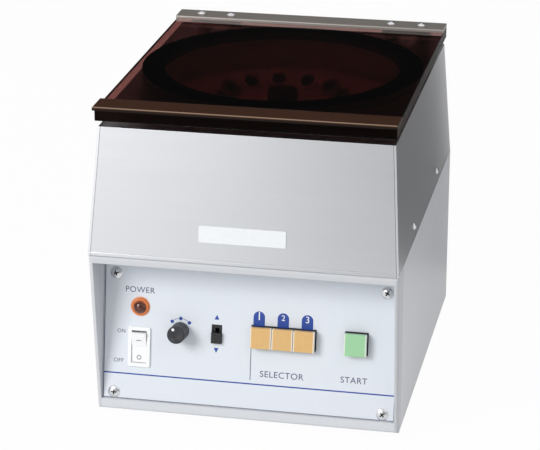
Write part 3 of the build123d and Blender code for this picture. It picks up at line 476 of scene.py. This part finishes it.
def smoked_acrylic(name, colour):
    """The lid: a clear brown-red sheet, polished on its faces and sawn at its edges, with painted shade
    on its front edge.
    """
    material, graph = new_material(name)
    haze = graph.noise(14.0, 3.0)
    scratches = graph.noise(30.0, 2.0, 0.6, (12.0, 1.0, 1.0)) > 0.66
    rise = graph.axis("Z")
    in_edge = (rise > plate_low.z + SAWN_MARGIN) * (rise < plate_high.z - SAWN_MARGIN)
    sawn = graph.noise(40.0, 3.0, 0.6, (1.0, 1.0, 30.0))
    tone = graph.mix(haze * 0.12, colour, shaded(colour, 0.80))
    tone = graph.mix(scratches * 0.05, tone, shaded(colour, 1.5))
    # Painted shade: the sawn front edge is drawn nearly black.
    front = graph.axis("Y") < plate_low.y + SAWN_DEPTH
    tone = graph.mix(in_edge * front * 0.96, tone, shaded(colour, 0.05))
    graph.finish(Base_Color=tone, Roughness=0.035 + haze * 0.03 + in_edge * (0.25 + sawn * 0.25),
                 Transmission_Weight=1.0, IOR=1.49, Specular_Tint=(0.13, 0.09, 0.08),
                 Normal=graph.soft_edges(0.4 * MM))
    return material


def lip_acrylic(name, colour):
    """The brown strip along the lid's front: painted highlights on its top edges and painted shade on its
    front face.
    """
    material, graph = new_material(name)
    low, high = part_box("lid_lip")
    clouds = graph.noise(20.0, 3.0)
    rise = graph.axis("Z")
    depth = graph.axis("Y") - low.y
    # Painted highlights along the top front edge and the back edge, and painted shade on the front face.
    edge = (rise > high.z - LIP_EDGE) * (depth < LIP_FRONT)
    back = depth > high.y - low.y - LIP_EDGE
    face = (rise < high.z - LIP_FACE_TOP) * (depth < LIP_FRONT)
    tone = graph.mix(clouds, shaded(colour, 0.95), shaded(colour, 1.35))
    tone = graph.mix(edge * 0.65, tone, (0.40, 0.28, 0.20))
    tone = graph.mix(back * 0.45, tone, (0.36, 0.26, 0.20))
    tone = graph.mix(face * 0.92, tone, shaded(colour, 0.10))
    graph.finish(Base_Color=tone, Roughness=0.24 + clouds * 0.10, Specular_IOR_Level=0.16,
                 Normal=graph.soft_edges(0.5 * MM))
    return material


def laminated(name, colour=(0.10, 0.10, 0.11)):
    """Stacked iron sheets seen from the side."""
    material, graph = new_material(name)
    sheets = graph.wave(graph.axis("Z") * SHEET_RATE)
    stain = graph.noise(60.0, 4.0)
    tone = graph.mix(sheets * 0.6, shaded(colour, 0.6), shaded(colour, 1.4))
    tone = graph.mix((stain > 0.62) * 0.35, tone, (0.16, 0.09, 0.05))
    graph.finish(Base_Color=tone, Metallic=0.7, Roughness=0.5 + stain * 0.2,
                 Normal=graph.bump(sheets, 0.3, 0.0003))
    return material


def circuit_board(name):
    """Lacquered board with tracks, under dark moulded components."""
    material, graph = new_material(name)
    board_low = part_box("control_board")[0]
    cells = graph.node("ShaderNodeTexVoronoi", {"distance": "MANHATTAN", "feature": "F1"}, {
        "Vector": graph.place((1.0, 1.0, 0.0)), "Scale": 260.0})
    tracks = cells < 0.22
    component = graph.axis("Z") > board_low.z + BOARD_THICKNESS
    grain = graph.noise(900.0, 2.0)
    tone = graph.mix(tracks * 0.6, (0.012, 0.10, 0.045), (0.03, 0.20, 0.09))
    tone = graph.mix(component, tone, (0.03, 0.032, 0.036))
    graph.finish(Base_Color=tone, Roughness=0.32 + component * 0.15 + grain * 0.05,
                 Normal=graph.bump(grain, 0.10, 0.0002, graph.soft_edges(0.4 * MM)))
    return material


def fluted(name, colour):
    """The knob: black plastic with fine grooves round its side."""
    material, graph = new_material(name)
    centre = Vector(knob_joint["pos_m"])
    x = graph.axis("X") - centre.x
    z = (graph.axis("Z") - centre.z) / panel_up.z
    grooves = graph.wave(graph.maths("ARCTAN2", x, z) * KNOB_FLUTES)
    pores = graph.noise(1600.0, 2.0)
    tone = graph.mix(pores, shaded(colour, 0.85), shaded(colour, 1.5))
    relief = grooves * 0.7 + pores * 0.3
    graph.finish(Base_Color=tone, Roughness=0.40 + pores * 0.10,
                 Normal=graph.bump(relief, 0.35, 0.0005, graph.soft_edges(0.5 * MM)))
    return material


def ink(name, colour):
    """Screen-printed ink: nearly even, with a slightly broken film."""
    material, graph = new_material(name)
    film = graph.noise(1300.0, 2.0)
    tone = graph.mix(film, shaded(colour, 0.90), shaded(colour, 1.20))
    graph.finish(Base_Color=tone, Roughness=0.42 + film * 0.12, Normal=graph.bump(film, 0.06, 0.0001))
    return material


def floor_finish(name, colour):
    """A pale studio floor, which the camera, metal and glass see as white, with its shadow."""
    material, graph = new_material(name)
    whiteness = graph.seen_directly() * FLOOR_WHITENESS
    tone = graph.mix(graph.noise(3.0, 2.0), shaded(colour, 0.98), colour)
    paint = graph.node("ShaderNodeBsdfDiffuse", {}, {"Color": tone})
    glow = graph.node("ShaderNodeEmission", {}, {"Color": (1.0, 1.0, 1.0), "Strength": 1.0})
    surface = graph.node("ShaderNodeMixShader", {}, {0: whiteness, 1: paint, 2: glow})
    graph.node("ShaderNodeOutputMaterial", {}, {"Surface": surface})
    return material


# Pieces on the panel, drawn in the panel's own plane: x across, s up the slope

LATHE_STEPS = 48


def arc(x, s, radius, start, end, steps=20):
    """Points along an arc, from one angle to another, in degrees."""
    turns = [radians(start + (end - start) * n / steps) for n in range(steps + 1)]
    return [(x + radius * cos(turn), s + radius * sin(turn)) for turn in turns]


def disc(x, s, radius, steps=24):
    """Points round a whole circle."""
    return arc(x, s, radius, 0.0, 360.0 - 360.0 / steps, steps - 1)


def bar(x0, x1, s0, s1):
    """The corners of an upright rectangle."""
    return [(x0, s0), (x1, s0), (x1, s1), (x0, s1)]


def sheet_of_ink(name, outlines, material, thickness, place=panel_frame):
    """Thin closed shapes on a surface, one for each outline."""
    mesh = bmesh.new()
    for outline in outlines:
        low = [mesh.verts.new((x, s, 0.0)) for x, s in outline]
        high = [mesh.verts.new((x, s, thickness)) for x, s in outline]
        mesh.faces.new(high)
        mesh.faces.new(reversed(low))
        for n in range(len(outline)):
            after = (n + 1) % len(outline)
            mesh.faces.new((low[n], low[after], high[after], high[n]))
    return placed_piece(name, mesh, material, place)


def linked(name, data, material=None):
    """An object in the scene that holds the data, with a finish if it is a mesh."""
    holder = bpy.data.objects.new(name, data)
    if material:
        data.materials.append(material)
    bpy.context.scene.collection.objects.link(holder)
    return holder


def placed_piece(name, mesh, material, place):
    """Turns a bmesh into an object that lies in the frame."""
    bmesh.ops.transform(mesh, matrix=place, verts=mesh.verts)
    bmesh.ops.recalc_face_normals(mesh, faces=mesh.faces)
    data = bpy.data.meshes.new(name)
    mesh.to_mesh(data)
    mesh.free()
    return linked(name, data, material)


def word(name, text, x, s, width, material, thickness):
    """A word in plain capitals, centred at a place on the panel and scaled to a width."""
    curve = bpy.data.curves.new(name + "_outline", "FONT")
    curve.body = text
    curve.align_x = "CENTER"
    curve.align_y = "CENTER"
    curve.space_character = 1.08
    curve.extrude = 0.5
    drawn = linked(name + "_outline", curve)
    bpy.context.view_layer.update()
    data = bpy.data.meshes.new_from_object(drawn.evaluated_get(bpy.context.evaluated_depsgraph_get()))
    bpy.data.objects.remove(drawn)
    across = [vertex.co.x for vertex in data.vertices]
    scale = width / (max(across) - min(across))
    middle = (max(across) + min(across)) / 2
    size = Matrix.Diagonal((scale, scale, thickness, 1.0))
    shift = Matrix.Translation((x, s, thickness / 2))
    mesh = bmesh.new()
    mesh.from_mesh(data)
    bpy.data.meshes.remove(data)
    bmesh.ops.translate(mesh, vec=(-middle, 0.0, 0.0), verts=mesh.verts)
    return placed_piece(name, mesh, material, panel_frame @ shift @ size)


def lathe(name, profile, material, place):
    """A turned piece about local Z, from a closed profile of radius and height."""
    mesh = bmesh.new()
    rings = []
    for n in range(LATHE_STEPS):
        turn = 2 * pi * n / LATHE_STEPS
        rings.append([mesh.verts.new((r * cos(turn), r * sin(turn), h)) for r, h in profile])
    for n in range(LATHE_STEPS):
        here, there = rings[n], rings[(n + 1) % LATHE_STEPS]
        for k in range(len(profile)):
            after = (k + 1) % len(profile)
            mesh.faces.new((here[k], there[k], there[after], here[after]))
    return placed_piece(name, mesh, material, place)


def on_panel(x, s, h=0.0):
    """A place on the panel, with local Z out of it."""
    return panel_frame @ Matrix.Translation((x, s, h))


def seat(piece, body="root"):
    """Makes a piece move with its body."""
    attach(piece, body)


def coat(material, *names):
    """Gives CAD nodes their finish."""
    for name in names:
        for holder in nodes[name].material_slots:
            holder.material = material


# Operators: one for each group of pieces, and one for the stage

class FinishCase(bpy.types.Operator):
    """Paints the lower case and finishes its base, feet and rear fittings"""
    bl_idname = "centrifuge.finish_case"
    bl_label = "Finish the case"

    def execute(self, context):
        colours = context.scene.centrifuge_colours
        coat(enamel("case_enamel", colours.case_paint), "lower_case", "motor_can")
        coat(enamel("panel_enamel", colours.panel_paint, 0.42), "control_panel")
        zinc = brushed("zinc_plate", (0.52, 0.53, 0.54), 0.36, (40.0, 40.0, 40.0), 0.16)
        coat(zinc, "base_plate", "mount_pillars", "motor_mount_plate", "board_standoffs")
        coat(rubber("foot_rubber"), "rubber_feet", "rubber_isolators", "bowl_boot")
        black = moulded("fitting_black", (0.022, 0.023, 0.026), 0.38)
        coat(black, "power_inlet", "fuse_holder")
        return {"FINISHED"}


class FinishCover(bpy.types.Operator):
    """Brushes the stainless upper cover and lays its blank label plate"""
    bl_idname = "centrifuge.finish_cover"
    bl_label = "Finish the cover"

    def execute(self, context):
        colours = context.scene.centrifuge_colours
        coat(cover_steel("cover_stainless", colours.stainless), "stainless_cover")
        coat(moulded("label_plate", (0.84, 0.86, 0.88), 0.34, 900.0, 0.04), "nameplate")
        coat(bright("screw_steel"), "cover_screws", "lid_screws", "bracket_screws", "inlet_screws")
        coat(panel_screw("panel_screw_steel"), "panel_screws")
        coat(bright("fixing_zinc", (0.55, 0.55, 0.54), 0.32), "foot_screws", "mount_bolts")
        return {"FINISHED"}


class FinishLid(bpy.types.Operator):
    """Finishes the smoked lid with its lip, seal, strip and hinges"""
    bl_idname = "centrifuge.finish_lid"
    bl_label = "Finish the lid"

    def execute(self, context):
        colours = context.scene.centrifuge_colours
        coat(smoked_acrylic("lid_acrylic", colours.acrylic), "lid_plate")
        coat(lip_acrylic("lip_brown", colours.lip), "lid_lip")
        coat(rubber("seal_rubber", (0.008, 0.007, 0.007)), "lid_gasket")
        warm = (0.40, 0.365, 0.335)
        coat(brushed("strip_steel", warm, 0.30, (3.0, 200.0, 200.0), 0.14, 0.45), "hinge_strip")
        coat(brushed("hinge_steel", (0.60, 0.60, 0.60), 0.28, (60.0, 4.0, 4.0)), "hinge_leaves",
             "hinge_brackets")
        coat(bright("pin_steel"), "hinge_pins")
        return {"FINISHED"}


class FinishControls(bpy.types.Operator):
    """Finishes the lamp, the switches, the knob and the buttons"""
    bl_idname = "centrifuge.finish_controls"
    bl_label = "Finish the controls"

    def execute(self, context):
        colours = context.scene.centrifuge_colours
        coat(lamp_glass("lamp_amber", colours.amber_lens), "power_lamp")
        white = moulded("switch_white", (0.97, 0.985, 1.0), 0.28, 800.0, 0.03)
        coat(white, "rocker_switch", "power_rocker")
        coat(fluted("knob_black", (0.014, 0.015, 0.019)), "mode_knob")
        body = moulded("switch_black", (0.018, 0.018, 0.020), 0.36)
        coat(body, "lamp_holder", "rotary_switch", "slide_switch", "slide_knob", "selector_switch_bank",
             "start_switch", "start_plunger")
        for number in SELECTOR_NUMBERS:
            button = f"selector_button_{number}"
            coat(lens(f"button_orange_{number}", colours.orange_lens, button), button)
            coat(body, f"selector_plunger_{number}")
        coat(lens("button_green", colours.green_lens, "start_button"), "start_button")
        return {"FINISHED"}


class FinishRotor(bpy.types.Operator):
    """Finishes the chamber, the rotor with its tube shields, and the drive"""
    bl_idname = "centrifuge.finish_rotor"
    bl_label = "Finish the rotor and drive"

    def execute(self, context):
        coat(spun("bowl_spun", (0.60, 0.60, 0.61), 0.45, 0.35), "chamber_bowl")
        coat(spun("rotor_anodised", (0.84, 0.84, 0.84), 0.5, 0.0), "rotor_disc")
        coat(spun("bell_turned", (0.62, 0.63, 0.65), 0.28), "motor_upper_bell", "motor_lower_bell")
        coat(bright("shield_steel", (0.66, 0.66, 0.68), 0.24), "tube_shields", "drive_shaft",
             "motor_bearings")
        coat(rubber("cushion_rubber", (0.03, 0.03, 0.03)), "shield_cushions")
        coat(moulded("rotor_knob_black", (0.02, 0.02, 0.022), 0.35), "rotor_knob")
        coat(laminated("core_iron"), "motor_stator", "motor_armature", "transformer")
        coat(circuit_board("board_lacquer"), "control_board")
        coat(brushed("capacitor_can", (0.60, 0.61, 0.62), 0.30, (40.0, 40.0, 3.0)), "motor_capacitor")
        return {"FINISHED"}


# Places and sizes of the print, in metres on the panel

SELECTOR_NUMBERS = (1, 2, 3)
PANEL_LEFT, PANEL_RIGHT = -0.1255, 0.1251
RULE_S = -0.0432
DIVIDER_X = 0.0022
DIVIDER_S = (-0.0398, -0.0118)
ARCH_X = 0.0290
ARCH_PITCH = 0.02055
ARCH_FOOT, ARCH_HEAD = 0.0076, 0.0201
DIAL_RADIUS = 0.0104
DIAL_DOT = 0.00155
DIAL_ANGLES = (135.0, 90.0, 44.0)
DIAL_GAP = 10.5             # degrees left clear on each side of a dot
DIAL_LINE = 0.0002          # half the width of the thin arc between dots
DIGIT_WIDTHS = (0.20, 0.60, 0.60)   # shares of the arch's radius
DIGIT_DROP = 0.9            # from the arch's crown to the digit's middle, as such a share
MARK_X = -0.0278
MARK_HIGH, MARK_LOW = 0.0122, -0.0166
MARK_HALF = 0.0021
# Inset of the painted shadow from the panel's edge
BORDER_INSET = 0.0005


def print_lines(sizes, blue, dark):
    """The long rule, the upright divider and a painted shadow inside the panel's edge."""
    half = sizes.rule / 2
    rule = bar(PANEL_LEFT, PANEL_RIGHT, RULE_S - half, RULE_S + half)
    seat(sheet_of_ink("print_rule", [rule], blue, sizes.ink))
    half = sizes.divider / 2
    divider = bar(DIVIDER_X - half, DIVIDER_X + half, *DIVIDER_S)
    seat(sheet_of_ink("print_divider", [divider], dark, sizes.ink))
    foot = (panel_low.z - panel_origin.z) / panel_up.z + BORDER_INSET
    head = (panel_high.z - panel_origin.z) / panel_up.z - BORDER_INSET
    side = panel_high.x - BORDER_INSET
    # A painted shadow where the panel meets the case: half as wide on the right and at the foot.
    width = sizes.border
    border = [bar(-side, width - side, foot, head), bar(side - width / 2, side, foot, head),
              bar(width - side, side - width / 2, head - width, head),
              bar(width - side, side - width / 2, foot, foot + width / 2)]
    seat(sheet_of_ink("painted_panel_edge_shadow", border, dark, sizes.ink))


def print_arches(sizes, blue, white):
    """A blue arch with a white number over each selector button."""
    half = sizes.arch_width / 2
    for number, digit_width in zip(SELECTOR_NUMBERS, DIGIT_WIDTHS):
        x = ARCH_X + ARCH_PITCH * (number - 2)
        crown = arc(x, ARCH_HEAD - half, half, 0.0, 180.0)
        foot = [(x - half, ARCH_FOOT), (x + half, ARCH_FOOT)]
        seat(sheet_of_ink(f"print_arch_{number}", [[*foot, *crown]], blue, sizes.ink))
        digit = word(f"print_digit_{number}", str(number), x, ARCH_HEAD - half * DIGIT_DROP,
                     half * digit_width, white, sizes.ink)
        digit.data.transform(Matrix.Translation(panel_out * sizes.ink))
        seat(digit)


def print_dial(film, blue):
    """The three dots round the knob and the thin arcs between them."""
    x, s = KNOB_PLACE
    places = [(x + DIAL_RADIUS * cos(radians(a)), s + DIAL_RADIUS * sin(radians(a)))
              for a in DIAL_ANGLES]
    dots = [disc(*place, DIAL_DOT) for place in places]
    seat(sheet_of_ink("print_dial_dots", dots, blue, film))
    links = []
    for start, end in zip(DIAL_ANGLES[1:], DIAL_ANGLES):
        outer = arc(x, s, DIAL_RADIUS + DIAL_LINE, start + DIAL_GAP, end - DIAL_GAP, 8)
        inner = arc(x, s, DIAL_RADIUS - DIAL_LINE, end - DIAL_GAP, start + DIAL_GAP, 8)
        links.append(outer + inner)
    seat(sheet_of_ink("print_dial_arc", links, blue, film))


def print_arrows(film, blue):
    """The triangles above and below the slide switch."""
    left, right = MARK_X - MARK_HALF, MARK_X + MARK_HALF
    up = [(left, MARK_HIGH - MARK_HALF), (right, MARK_HIGH - MARK_HALF), (MARK_X, MARK_HIGH + MARK_HALF)]
    down = [(left, MARK_LOW + MARK_HALF), (MARK_X, MARK_LOW - MARK_HALF), (right, MARK_LOW + MARK_HALF)]
    seat(sheet_of_ink("print_arrows", [up, down], blue, film))


class PrintPanel(bpy.types.Operator):
    """Prints the lines, arches, dots and triangles on the control panel, and lays a painted shadow inside
    its edge
    """
    bl_idname = "centrifuge.print_panel"
    bl_label = "Print the panel"

    def execute(self, context):
        sizes = context.scene.centrifuge_print
        colours = context.scene.centrifuge_colours
        blue = ink("print_blue", colours.print_ink)
        white = ink("print_white", (0.86, 0.88, 0.92))
        # This dark ink draws the divider and also the painted shadow inside the panel's edge.
        dark = ink("dark_print_and_painted_shadow", colours.text_ink)
        print_lines(sizes, blue, dark)
        print_arches(sizes, blue, white)
        print_dial(sizes.ink, blue)
        print_arrows(sizes.ink, blue)
        return {"FINISHED"}


class PrintWords(bpy.types.Operator):
    """Prints the plain words beside the controls"""
    bl_idname = "centrifuge.print_words"
    bl_label = "Print the words"

    def execute(self, context):
        sizes = context.scene.centrifuge_print
        grey = ink("print_grey_blue", context.scene.centrifuge_colours.text_ink)
        words = (
            ("POWER", -0.0947, 0.0305, sizes.power_width),
            ("ON", -0.1105, -0.0063, sizes.switch_width * 0.80),
            ("OFF", -0.1124, -0.0321, sizes.switch_width),
            ("SELECTOR", 0.0292, -0.0340, sizes.selector_width),
            ("START", 0.0907, -0.0330, sizes.start_width),
        )
        for text, x, s, width in words:
            seat(word(f"print_{text.lower()}", text, x, s, width, grey, sizes.ink))
        return {"FINISHED"}


# Places and sizes of the marks on the controls

ROCKER_FACE = atan(1.8 / 13.4)      # slope of each half of the rocker, from its rise and its length
ROCKER_CREST = 1.6 * MM
KNOB_TOP = 18.0 * MM
POINTER = (-0.0024, 0.0045)
POINTER_PROFILE = [(0.05 * MM, 0.0), (1.25 * MM, 0.0), (1.1 * MM, 0.12 * MM), (0.05 * MM, 0.18 * MM)]
ROCKER_DASH = (-0.0022, 0.0022, 0.0060, 0.0066)
ROCKER_RING = (1.95 * MM, 1.40 * MM)
ROCKER_RING_PLACE = (0.0, -0.0092, 0.00008)
LAMP_PLACE = (-0.0943, 0.0163)
LAMP_RING_PROFILE = [(7.5 * MM, 0.0), (8.4 * MM, 0.0), (8.2 * MM, 0.5 * MM), (7.5 * MM, 0.8 * MM)]


class MarkControls(bpy.types.Operator):
    """Adds the rocker's marks, the knob's pointer dot and the lamp's ring"""
    bl_idname = "centrifuge.mark_controls"
    bl_label = "Mark the controls"

    def execute(self, context):
        film = context.scene.centrifuge_print.ink
        grey = ink("mark_grey", (0.10, 0.12, 0.15))
        white = ink("mark_white", (0.88, 0.89, 0.90))
        tilt = radians(rocker_joint["range_deg"][1]) / 2
        pivot = Matrix.Translation(Vector(rocker_joint["pos_m"])) @ panel_frame.to_3x3().to_4x4()
        resting = pivot @ Matrix.Rotation(tilt, 4, "X") @ Matrix.Translation((0.0, 0.0, ROCKER_CREST))
        upper = resting @ Matrix.Rotation(ROCKER_FACE, 4, "X")
        lower = resting @ Matrix.Rotation(-ROCKER_FACE, 4, "X")
        seat(sheet_of_ink("rocker_mark_on", [bar(*ROCKER_DASH)], grey, film, upper), "power_rocker")
        outer, inner = ROCKER_RING
        profile = [(outer, 0.0), (outer, film), (inner, film), (inner, 0.0)]
        ring_place = lower @ Matrix.Translation(ROCKER_RING_PLACE)
        seat(lathe("rocker_mark_off", profile, grey, ring_place), "power_rocker")
        pointer_place = on_panel(KNOB_PLACE[0] + POINTER[0], KNOB_PLACE[1] + POINTER[1], KNOB_TOP)
        seat(lathe("knob_pointer", POINTER_PROFILE, white, pointer_place), "mode_knob")
        halo = moulded("lamp_ring_orange", (0.86, 0.30, 0.10), 0.30)
        seat(lathe("lamp_ring", LAMP_RING_PROFILE, halo, on_panel(*LAMP_PLACE)), "root")
        return {"FINISHED"}


CAMERA_YAW = 11.52          # degrees
CAMERA_RISE = 20.68
CAMERA_TARGET = Vector((-0.0093, -0.0040, 0.1294))
SENSOR_WIDTH = 36.0         # millimetres
NEAREST_SEEN = 0.05
FLOOR_REACH = 4.0
LAMP_AIM = Vector((0.0, 0.0, 0.12))

# Cards that only metal and glass see: name, finish and its level, ends along X, place in Y, foot and head
CARDS = (
    ("stage_dark_back", "stage_dark_cloth", 0.015, (-2.2, 1.6), 1.3, (0.42, 2.2)),
    ("stage_dark_side", "stage_grey_cloth", 0.17, (0.15, 1.6), 0.24, (0.002, 0.75)),
    ("stage_grey_front", "stage_pale_cloth", 0.40, (-0.16, 1.4), -1.2, (0.0, 1.1)),
)


def stage_card(name, corners, material, seen_by_camera=True):
    """A flat studio surface that isn't part of the object."""
    mesh = bpy.data.meshes.new(name)
    mesh.from_pydata(corners, [], [range(len(corners))])
    card = linked(name, mesh, material)
    card.visible_camera = seen_by_camera
    if not seen_by_camera:
        card.visible_diffuse = False
        card.visible_shadow = False


def lamp(name, place, width, power):
    """A soft square lamp that points at the object."""
    data = bpy.data.lights.new(name, "AREA")
    data.shape = "SQUARE"
    data.size = width
    data.energy = power
    holder = linked(name, data)
    holder.location = place
    holder.rotation_euler = (LAMP_AIM - Vector(place)).to_track_quat("-Z", "Y").to_euler()


def white_room(strength):
    """An even pale world, which the camera, metal and glass see as white."""
    world = bpy.data.worlds.new("studio_room")
    world.use_nodes = True
    graph = Graph(world.node_tree)
    seen = graph.seen_directly()
    level = seen + (1.0 - seen) * strength
    light = graph.node("ShaderNodeBackground", {}, {"Color": (1.0, 1.0, 1.0), "Strength": level})
    graph.node("ShaderNodeOutputWorld", {}, {"Surface": light})
    bpy.context.scene.world = world


def even_glow(name, level):
    """A grey that metal and glass see in place of the white room."""
    material, graph = new_material(name)
    glow = graph.node("ShaderNodeEmission", {}, {"Color": (level, level, level), "Strength": 1.0})
    graph.node("ShaderNodeOutputMaterial", {}, {"Surface": glow})
    return material


class SetStage(bpy.types.Operator):
    """Lays the floor, hangs the lamps and cards and sets the camera"""
    bl_idname = "centrifuge.set_stage"
    bl_label = "Set the stage"

    def execute(self, context):
        stage = context.scene.centrifuge_stage
        floor = [(x, y, 0.0) for x, y in bar(-FLOOR_REACH, FLOOR_REACH, -FLOOR_REACH, FLOOR_REACH)]
        stage_card("stage_floor", floor, floor_finish("stage_floor_paint", stage.floor))
        for name, cloth, level, ends, y, heights in CARDS:
            corners = [(x, y, z) for x, z in bar(*ends, *heights)]
            stage_card(name, corners, even_glow(cloth, level), False)
        lamp("stage_key_lamp", (-1.2, -1.8, 1.25), 1.0, stage.key_power)
        lamp("stage_fill_lamp", (1.5, -1.0, 1.5), 1.2, stage.fill_power)
        white_room(stage.room)
        yaw, rise = radians(CAMERA_YAW), radians(CAMERA_RISE)
        outward = Vector((sin(yaw) * cos(rise), -cos(yaw) * cos(rise), sin(rise)))
        data = bpy.data.cameras.new("photo_camera")
        data.lens = stage.camera_lens
        data.sensor_width = SENSOR_WIDTH
        data.clip_start = NEAREST_SEEN
        camera = linked("photo_camera", data)
        camera.location = CAMERA_TARGET + outward * stage.camera_distance
        camera.rotation_euler = (-outward).to_track_quat("-Z", "Y").to_euler()
        context.scene.camera = camera
        context.scene.view_settings.view_transform = "Standard"
        return {"FINISHED"}


GROUPS = (CentrifugeColours, CentrifugePrint, CentrifugeStage)
OPERATORS = (FinishCase, FinishCover, FinishLid, FinishControls, FinishRotor, PrintPanel, PrintWords,
             MarkControls, SetStage)


class CentrifugePanel(bpy.types.Panel):
    """Lists the steps that dress the centrifuge"""
    bl_idname = "VIEW3D_PT_centrifuge"
    bl_label = "Bench centrifuge"
    bl_space_type = "VIEW_3D"
    bl_region_type = "UI"
    bl_category = "Centrifuge"

    def draw(self, context):
        for step in OPERATORS:
            self.layout.operator(step.bl_idname)


def register():
    """Adds the groups of sizes, the operators and the panel to Blender."""
    for group in (*GROUPS, *OPERATORS, CentrifugePanel):
        bpy.utils.register_class(group)
    bpy.types.Scene.centrifuge_colours = PointerProperty(type=CentrifugeColours)
    bpy.types.Scene.centrifuge_print = PointerProperty(type=CentrifugePrint)
    bpy.types.Scene.centrifuge_stage = PointerProperty(type=CentrifugeStage)


def unregister():
    """Takes away what register() added."""
    del bpy.types.Scene.centrifuge_stage
    del bpy.types.Scene.centrifuge_print
    del bpy.types.Scene.centrifuge_colours
    for group in (CentrifugePanel, *reversed(OPERATORS), *reversed(GROUPS)):
        bpy.utils.unregister_class(group)


def main():
    """Dresses the part step by step."""
    register()
    for step in OPERATORS:
        area, name = step.bl_idname.split(".")
        getattr(getattr(bpy.ops, area), name)()


if __name__ == "__main__":
    main()
